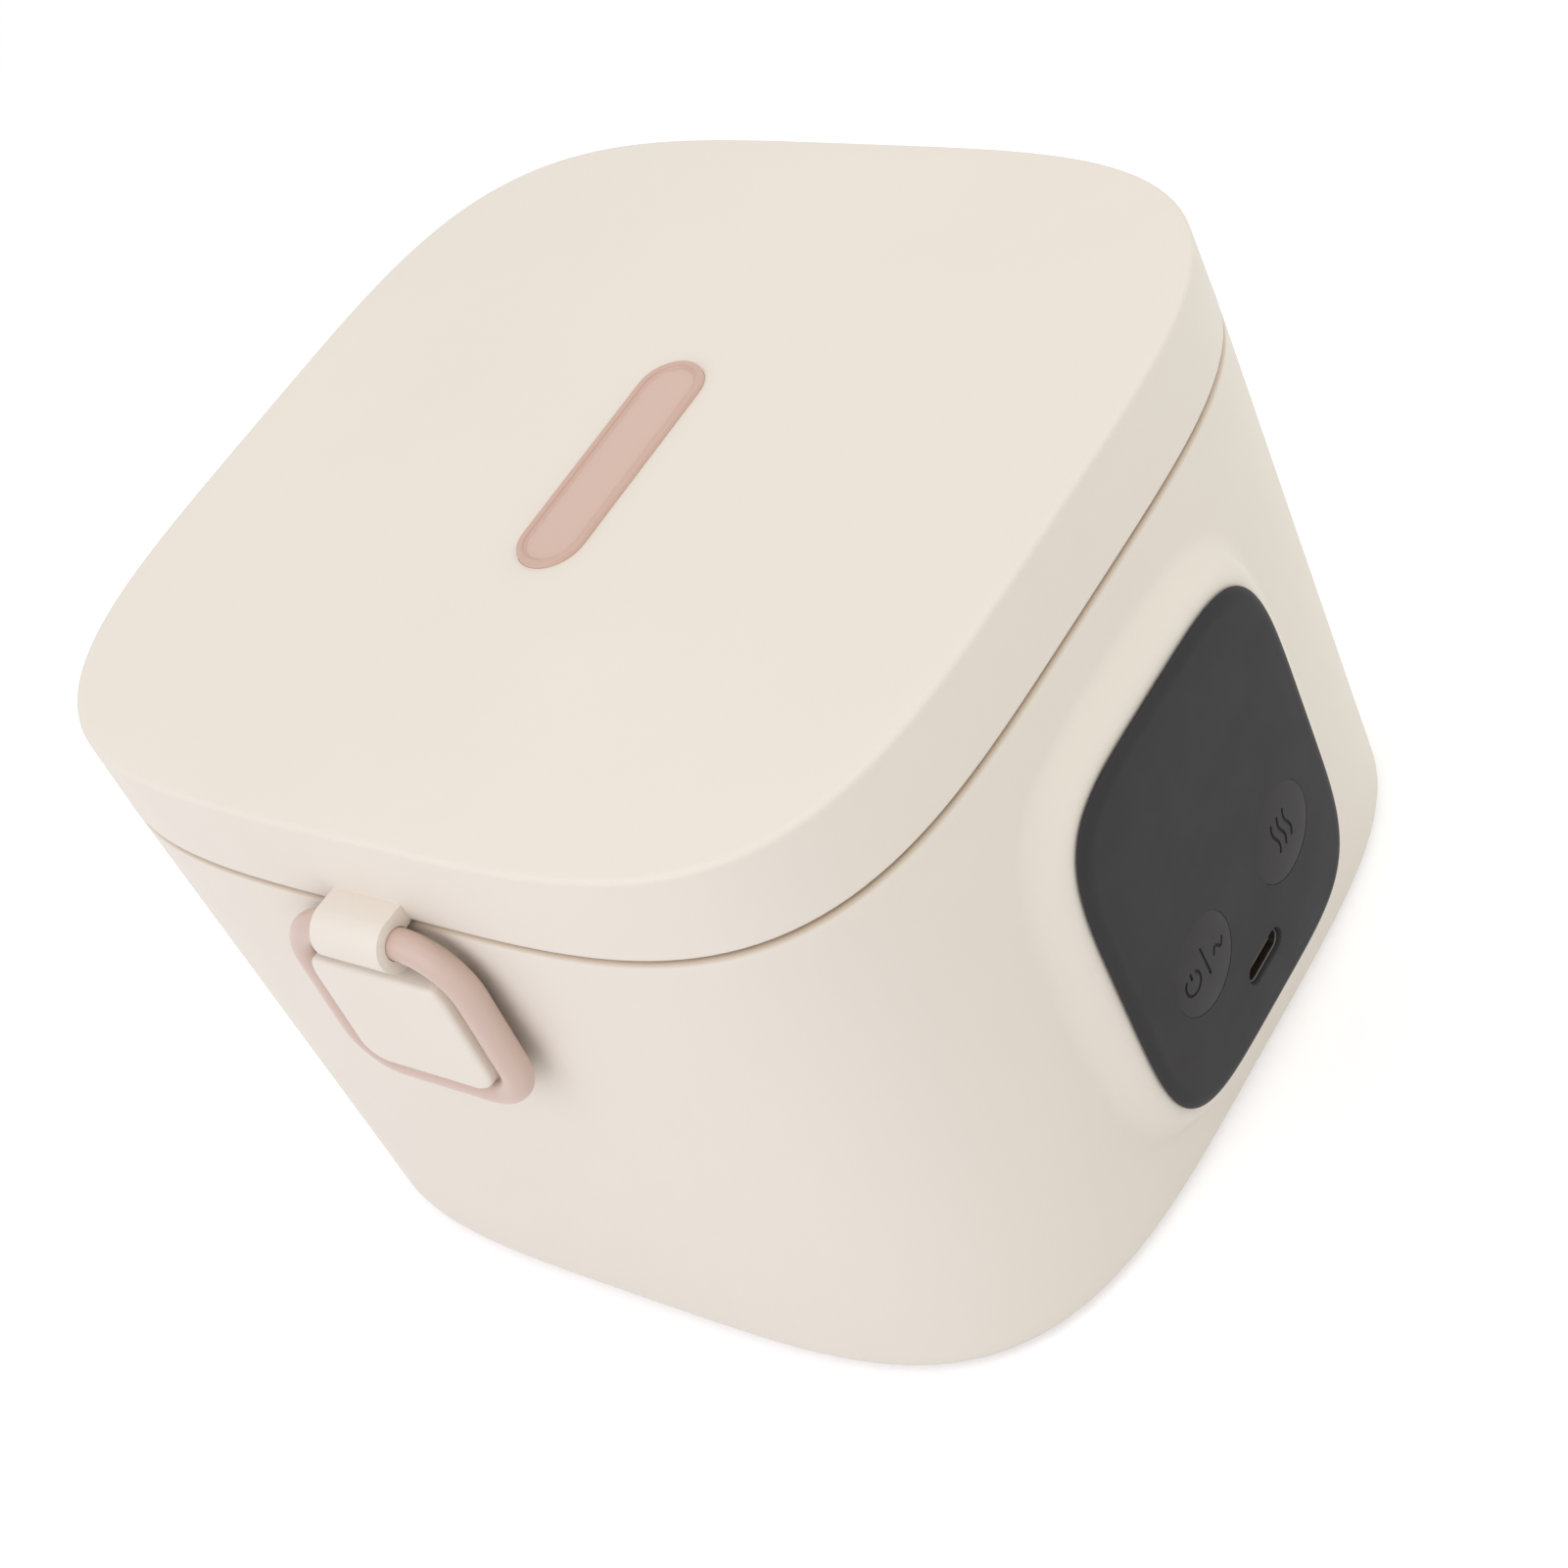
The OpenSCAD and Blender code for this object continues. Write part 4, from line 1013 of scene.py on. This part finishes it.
class LUNCHBOX_OT_buttons(bpy.types.Operator):
    """Build the two domed buttons with their marks"""

    bl_idname = "lunchbox.buttons"
    bl_label = "Buttons"

    def execute(self, context):
        size = context.scene.lunch_box.panel
        face = PLATEAU + size.thickness / MM + size.dome / MM
        rise = size.dome / MM + 0.06
        marks = {"power": self.power_mark(), "heat": self.heat_mark()}
        for body, x in (("power", -BUTTON_X), ("heat", BUTTON_X)):
            cap = self.cap(body, x, face, rise)
            tubes = [self.groove(stroke, x, face, rise) for stroke in marks[body]]
            for tube in tubes:
                modifier = cap.modifiers.new("groove", "BOOLEAN")
                modifier.object = tube
                modifier.operation = "DIFFERENCE"
                modifier.solver = "EXACT"
                modifier.material_mode = "TRANSFER"
                settle(cap)
                drop(tube)
            finish_piece(cap, body, finishes().button(), [body + "_button"], 38)
        return {"FINISHED"}

    def crown(self, r, face, rise):
        """Height of the dome at a distance from its middle."""
        return face - rise * min(r / BUTTON_R, 1.0) ** 3

    def cap(self, body, x, face, rise):
        stem_r, flange_r = 1.6, 8.2
        rows = [(0, 1.85), (stem_r, 1.85), (stem_r, 3.05), (flange_r, 3.05), (flange_r, 3.85)]
        rows += [(BUTTON_R, 3.85), (BUTTON_R, face - rise)]
        rows += [(r, self.crown(r, face, rise)) for r in (7.1, 6.9, 6.6, 6.3, 5.9, 5.4, 4.8, 4.1, 3.2, 2.2)]
        rows += [(0, face)]
        return turned(body + "_cap", rows, on_front(x, BUTTON_Z), 128, finishes().button())

    def groove(self, stroke, x, face, rise):
        """A round cutter along a stroke drawn on the dome."""
        round_section = arc(0, 0, 0.23, 0, 360, 10)[:-1]
        out = Vector((0, 0, 1))
        points = [Vector((px, py, self.crown(math.hypot(px, py), face, rise))) for px, py in stroke]
        loops = []
        for i, point in enumerate(points):
            ahead = (points[min(i + 1, len(points) - 1)] - points[max(i - 1, 0)]).normalized()
            side = ahead.cross(out).normalized()
            loops.append([tuple(point + side * a + out * b) for a, b in round_section])
        tube = stack("groove", loops)
        tube.data.transform(on_front(x, BUTTON_Z))
        tube.data.materials.append(finishes().ink())
        return tube

    def heat_mark(self):
        """Three upright waves."""
        return [
            [(x + 0.42 * math.sin(2 * math.pi * k), 0.7 + 5.4 * (k - 0.5)) for k in (i / 16 for i in range(17))]
            for x in (-1.9, -0.2, 1.5)
        ]

    def power_mark(self):
        """A power sign, an upright stroke and one lying wave."""
        ring = [(-3.6 + 1.75 * math.sin(a), 0.3 + 1.75 * math.cos(a)) for a in fan(36, 324, 20)]
        bar = [(-3.6, 1.0 + 0.3 * i) for i in range(5)]
        stroke = [(-0.12 + 0.04 * i, 3.5 - 0.9 * i) for i in range(7)]
        wave = [(1.9 + 3.0 * k, 0.62 * math.sin(2 * math.pi * (1.22 * k - 0.11))) for k in (i / 18 for i in range(19))]
        return [ring, bar, stroke, wave]


class LUNCHBOX_OT_socket(bpy.types.Operator):
    """Build the charging socket's mouth, tongue and contacts"""

    bl_idname = "lunchbox.socket"
    bl_label = "Charging Socket"

    def execute(self, context):
        wall = 0.3
        steel = finishes().metal("socket_metal", (104, 99, 95), 0.42, LINES_UP)
        back, front = -2.55, PLATEAU + 1.9 - 0.6
        rows = [(0.0, back), (0.0, front - 0.15)] + arc(wall / 2, front - 0.15, 0.15, 180, 0, 6)[1:]
        rows += [(wall, front - 0.2), (wall, back + 0.8), (SOCKET_H / 2 - 0.02, back + 0.8)]
        mouth = stack("socket_mouth", [by_socket(pill(SOCKET_W, SOCKET_H, inset), out) for inset, out in rows])
        finish_piece(mouth, "base", steel, ["usb_socket"], 50)
        y_back, y_front = BODY_Y - HALF_D - (back + 0.8), BODY_Y - HALF_D - (PLATEAU + 0.7)
        tip = [(3.37, 0.35, y_back), (3.37, 0.35, y_front + 0.3), (3.2, 0.2, y_front)]
        loops = [
            [(x, y, SOCKET_Z + z) for x, z in round_corners(half_w, half_h, -half_h, 0.12, 0.12, 4)]
            for half_w, half_h, y in tip
        ]
        tongue = stack("socket_tongue", loops)
        amber = finishes().moulded("tongue_plastic", (112, 88, 66), 0.45, 0.05, 0.2, 0.004)
        finish_piece(tongue, "base", amber, ["usb_tongue"])
        strip = stack("contact", [
            [(x, y, z) for x, z in round_corners(0.12, 0.05, -0.05, 0.05, 0.05, 2)]
            for y in (y_front + 1.0, y_front + 4.2)
        ])
        places = [(-2.75 + 0.5 * i, 0.0, SOCKET_Z + side * 0.34) for i in range(12) for side in (-1, 1)]
        contacts = new_object("socket_contacts", places)
        gold = finishes().metal("contact_metal", (214, 178, 110), 0.22, NO_LINES)
        grow(contacts, tool("Repeated parts", repeat_tree), {"Part": strip, "Material": gold})
        drop(strip)
        finish_piece(contacts, "base", gold)
        return {"FINISHED"}


class LUNCHBOX_OT_container(bpy.types.Operator):
    """Build the food container, the rim that carries it, and the lid's inner moulding and seal"""

    bl_idname = "lunchbox.container"
    bl_label = "Food Container"

    def execute(self, context):
        profile = [(POLE, 20.3), (30, 20.3)] + arc(10.7, 22.3, 2.0, 270, 180, 8)
        profile += [(8.7, 50), (8.7, 83.0), (5.65, 83.0)] + arc(5.75, 83.5, 0.42, 235, 90, 6)[1:]
        profile += [(9.0, 83.95)] + arc(9.1, 83.4, 0.5, 80, 0, 5)[1:]
        profile += [(9.6, 82.8), (9.6, 50), (9.6, 24.4)] + arc(12.8, 24.4, 3.2, 180, 270, 10)[1:]
        profile += [(24, 21.2), (40, 21.2), (POLE, 21.2)]
        tub = squircle("food_tub", profile, columns=224, material=finishes().steel())
        finish_piece(tub, "base", finishes().steel(), ["food_container"])

        rim = [(2.35, 79.4), (2.35, 88.7), (2.55, 88.9), (2.9, 88.9), (2.9, 91.1)]
        rim += arc(3.2, 91.1, 0.3, 180, 90, 4)[1:] + arc(4.1, 91.1, 0.3, 90, 0, 4)
        rim += [(4.4, 88.95), (4.8, 88.9), (5.0, 88.7), (5.0, 83.0), (8.1, 83.0), (8.3, 82.8), (8.3, 79.4)]
        ring = squircle("rim_moulding", rim, columns=224, closed=True, material=finishes().liner())
        finish_piece(ring, "base", finishes().liner(), ["rim_ring"])

        inner = [(POLE, 87.9), (40, 87.9), (8.2, 87.9), (8.2, 88.7), (6.8, 88.7), (6.8, 87.9)]
        inner += arc(6.2, 88.5, 0.6, 270, 180, 5) + [(5.6, 92.4), (2.6, 92.4), (2.4, 92.6), (2.4, 93.8), (2.6, 94.0)]
        inner += [(7.2, 94.0), (7.2, 90.3)] + arc(8.0, 90.3, 0.8, 180, 270, 5)[1:] + [(POLE, 89.5)]
        inner_lid = squircle("inner_lid", inner, columns=224, material=finishes().liner())
        finish_piece(inner_lid, "lid", finishes().liner(), ["lid_liner"])

        seal = [(6.85, 88.55), (6.85, 87.85), (6.2, 87.8), (6.2, 86.6), (6.75, 86.2), (6.35, 85.4)]
        seal += arc(7.5, 85.0, 0.95, 190, 350, 10)
        seal += [(8.65, 85.4), (8.25, 86.2), (8.8, 86.6), (8.8, 87.8), (8.15, 87.85), (8.15, 88.55)]
        silicone = finishes().moulded("seal_silicone", (214, 210, 203), 0.6, 0.03, 0.5, 0.004)
        gasket = squircle("lid_seal", seal, columns=192, closed=True, material=silicone)
        finish_piece(gasket, "lid", silicone, ["lid_gasket"], 45)
        return {"FINISHED"}


class LUNCHBOX_OT_underside(bpy.types.Operator):
    """Build the feet and the screws of the base"""

    bl_idname = "lunchbox.underside"
    bl_label = "Underside"

    def execute(self, context):
        rows = [(0, 0.0), (3.9, 0.0), (4.1, 0.15), (4.3, 0.0)]
        rows += arc(4.6, 0.4, 0.4, 270, 360, 5) + [(5.0, 2.2), (0, 2.2)]
        rubber = finishes().moulded("foot_rubber", (86, 83, 80), 0.8, 0.08, 0.5, 0.03)
        pad = turned("foot", rows, columns=64)
        feet = new_object("feet", corners(FOOT_X, FOOT_Y, 0))
        grow(feet, tool("Repeated parts", repeat_tree), {"Part": pad, "Material": rubber})
        drop(pad)
        nodes = ["foot_front_left", "foot_front_right", "foot_rear_left", "foot_rear_right"]
        finish_piece(feet, "base", rubber, nodes)

        head = [(2.3, 0.0), (2.6, 0.12), (2.7, 0.35), (2.7, 1.1)]
        thread = [(1.25, 1.1), (1.25, 9.2), (1.0, 9.5)]
        screw = turned("screw", [(0, 0.0), *head, *thread, (0, 9.5)], columns=48)
        cross = [
            stack("bar", [[(-a, -b, z), (a, -b, z), (a, b, z), (-a, b, z)] for z in (-1, 0.6)])
            for a, b in ((1.5, 0.32), (0.32, 1.5))
        ]
        cut_or_join(screw, cross, "DIFFERENCE")
        screws = new_object("base_screw_set", corners(BOSS_X, BOSS_Y, 1.5))
        grow(screws, tool("Repeated parts", repeat_tree), {"Part": screw, "Material": finishes().fastener()})
        drop(screw)
        finish_piece(screws, "base", finishes().fastener(), ["base_screws"])
        return {"FINISHED"}


class LUNCHBOX_OT_inner(bpy.types.Operator):
    """Give the pieces inside the lunch box their finishes"""

    bl_idname = "lunchbox.inner"
    bl_label = "Inner Pieces"

    def execute(self, context):
        f = finishes()
        foam = f.insulation("insulation_felt", (222, 221, 214))
        plate = f.metal("heater_metal", (184, 186, 188), 0.35, LINES_ALONG_Y)
        black = f.moulded("switch_plastic", (52, 52, 54), 0.4, 0.05, 0.3, 0.004)
        plunger = f.moulded("plunger_plastic", (198, 190, 178), 0.4, 0.04, 0.3, 0.004)
        given = {
            "base_cover": f.moulded("base_moulding", (222, 214, 204), 0.6, 0.03, 0.7, 0.02),
            "heating_well": f.metal("drawn_well", (200, 202, 204), 0.32),
            "insulation_sleeve": foam,
            "base_insulation": foam,
            "lid_insulation": foam,
            "heater_plate": plate,
            "temperature_sensor": plate,
            "heating_film": f.moulded("heating_film", (186, 126, 62), 0.3, 0.1, 1.2, 0.006, coat=0.3),
            "thermal_fuse": f.moulded("fuse_ceramic", (238, 233, 222), 0.5, 0.04, 0.4, 0.01),
            "heater_leads": f.moulded("lead_cover", (176, 58, 46), 0.45, 0.05, 0.4, 0.006),
            "control_board": f.moulded("board_lacquer", (38, 98, 66), 0.32, 0.12, 0.9, 0.006, coat=0.4),
            "board_screws": f.fastener(),
            "power_switch": black,
            "heat_switch": black,
            "power_plunger": plunger,
            "heat_plunger": plunger,
            "hinge_pin": f.metal("pin_steel", (188, 190, 193), 0.22, (900.0, 60.0, 900.0)),
        }
        for name, material in given.items():
            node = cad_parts[name]
            if node.material_slots:
                for slot in node.material_slots:
                    slot.material = material
            else:
                node.data.materials.append(material)
        return {"FINISHED"}


# ---- Studio ----


class LUNCHBOX_OT_studio(bpy.types.Operator):
    """Build the floor, lamps, sky and camera"""

    bl_idname = "lunchbox.studio"
    bl_label = "Studio"

    def execute(self, context):
        studio = context.scene.lunch_box.studio
        self.floor()
        self.sky(studio.sky)
        self.lamp("key_lamp", studio.key, 0.9, (-0.68, 0.02, 0.50), (0.92, 0.885, 1.0))
        self.lamp("top_lamp", studio.top, 1.1, (0.10, -0.10, 0.95), (1.0, 1.0, 0.94))
        self.lamp("front_lamp", studio.front, 0.9, (0.10, -0.80, 0.45), (1.0, 0.90, 0.75))
        self.lamp("side_lamp", studio.side, 0.9, (0.70, -0.35, 0.45), (1.0, 1.0, 1.0))
        self.camera(studio.lens)
        context.scene.view_settings.view_transform = "Standard"
        return {"FINISHED"}

    def floor(self):
        half = 2.5
        mesh = bpy.data.meshes.new("studio_floor")
        mesh.from_pydata([(-half, -half, 0), (half, -half, 0), (half, half, 0), (-half, half, 0)], [], [(0, 1, 2, 3)])
        floor = bpy.data.objects.new("studio_floor", mesh)
        bpy.context.scene.collection.objects.link(floor)
        material = bpy.data.materials.new("studio_paper")
        material.use_nodes = True
        s = Sketch(material.node_tree)
        s.tree.nodes.clear()
        place, seen = s.place(), s.seen()
        tone = s.mix(s.swing(s.noise(place, 500.0), 0.0, 1.0), (0.80, 0.80, 0.80, 1), (0.82, 0.82, 0.82, 1))
        paper = s.get("ShaderNodeBsdfPrincipled", {"Base Color": tone, "Roughness": 0.9, "Specular IOR Level": 0.1})
        glow = s.get("ShaderNodeEmission", {"Color": WHITE, "Strength": seen * 0.38})
        near = s.get("ShaderNodeAddShader", {0: paper, 1: glow})
        reach = s.get("ShaderNodeVectorMath", {0: place}, "Value", operation="LENGTH")
        away = s.span(reach, 0.22, 0.5, kind="SMOOTHSTEP") * seen
        far = s.get("ShaderNodeEmission", {"Color": WHITE, "Strength": 1.0})
        s.add("ShaderNodeOutputMaterial", {0: s.get("ShaderNodeMixShader", {0: away, 1: near, 2: far})})
        mesh.materials.append(material)

    def sky(self, strength):
        world = bpy.data.worlds.new("studio_sky")
        bpy.context.scene.world = world
        world.use_nodes = True
        s = Sketch(world.node_tree)
        s.tree.nodes.clear()
        light = s.get("ShaderNodeBackground", {0: (1.0, 0.995, 0.985, 1), 1: strength})
        white = s.get("ShaderNodeBackground", {0: WHITE, 1: 1.0})
        s.add("ShaderNodeOutputWorld", {0: s.get("ShaderNodeMixShader", {0: s.seen(), 1: light, 2: white})})

    def lamp(self, name, power, size, place, colour):
        light = bpy.data.lights.new(name, "AREA")
        light.shape = "DISK"
        light.size = size
        light.energy = power
        light.color = colour
        lamp = bpy.data.objects.new(name, light)
        bpy.context.scene.collection.objects.link(lamp)
        lamp.location = place
        aim = Vector((0, 0, 0.05)) - Vector(place)
        lamp.rotation_mode = "QUATERNION"
        lamp.rotation_quaternion = aim.to_track_quat("-Z", "Y")

    def camera(self, lens):
        data = bpy.data.cameras.new("photo_camera")
        data.lens = lens
        data.sensor_width = 36.0
        data.shift_x, data.shift_y = 0.0784, 0.0561
        data.clip_start, data.clip_end = 0.01, 10.0
        camera = bpy.data.objects.new("photo_camera", data)
        bpy.context.scene.collection.objects.link(camera)
        right = Vector((0.51607, -0.76758, -0.38012))
        up = Vector((0.74197, 0.17888, 0.64613))
        back = Vector((-0.42796, -0.61549, 0.66184))
        turn = Matrix((right, up, back)).transposed().to_4x4()
        camera.matrix_world = Matrix.Translation((-0.20962, -0.26282 + BODY_Y * MM, 0.33227 + SHELL_LOW * MM)) @ turn
        bpy.context.scene.camera = camera


class LUNCHBOX_PT_sidebar(bpy.types.Panel):
    bl_idname = "LUNCHBOX_PT_sidebar"
    bl_label = "Lunch Box"
    bl_space_type = "VIEW_3D"
    bl_region_type = "UI"
    bl_category = "Lunch Box"

    def draw(self, context):
        settings = context.scene.lunch_box
        for group in (settings.palette, settings.body, settings.lid, settings.panel, settings.studio):
            box = self.layout.box()
            for key in group.__annotations__:
                box.prop(group, key)
        for piece in PIECES:
            self.layout.operator(piece.bl_idname)


PIECES = [
    LUNCHBOX_OT_shell,
    LUNCHBOX_OT_lid,
    LUNCHBOX_OT_badge,
    LUNCHBOX_OT_latch,
    LUNCHBOX_OT_panel,
    LUNCHBOX_OT_buttons,
    LUNCHBOX_OT_socket,
    LUNCHBOX_OT_container,
    LUNCHBOX_OT_underside,
    LUNCHBOX_OT_inner,
    LUNCHBOX_OT_studio,
]
SETTINGS = [Palette, BodySettings, LidSettings, PanelSettings, StudioSettings, LunchBoxSettings]
CLASSES = [*SETTINGS, *PIECES, LUNCHBOX_PT_sidebar]


def register():
    for item in CLASSES:
        bpy.utils.register_class(item)
    bpy.types.Scene.lunch_box = PointerProperty(type=LunchBoxSettings)


def unregister():
    del bpy.types.Scene.lunch_box
    for item in reversed(CLASSES):
        bpy.utils.unregister_class(item)


def main():
    register()
    for piece in PIECES:
        space, action = piece.bl_idname.split(".")
        getattr(getattr(bpy.ops, space), action)()


if __name__ == "__main__":
    main()
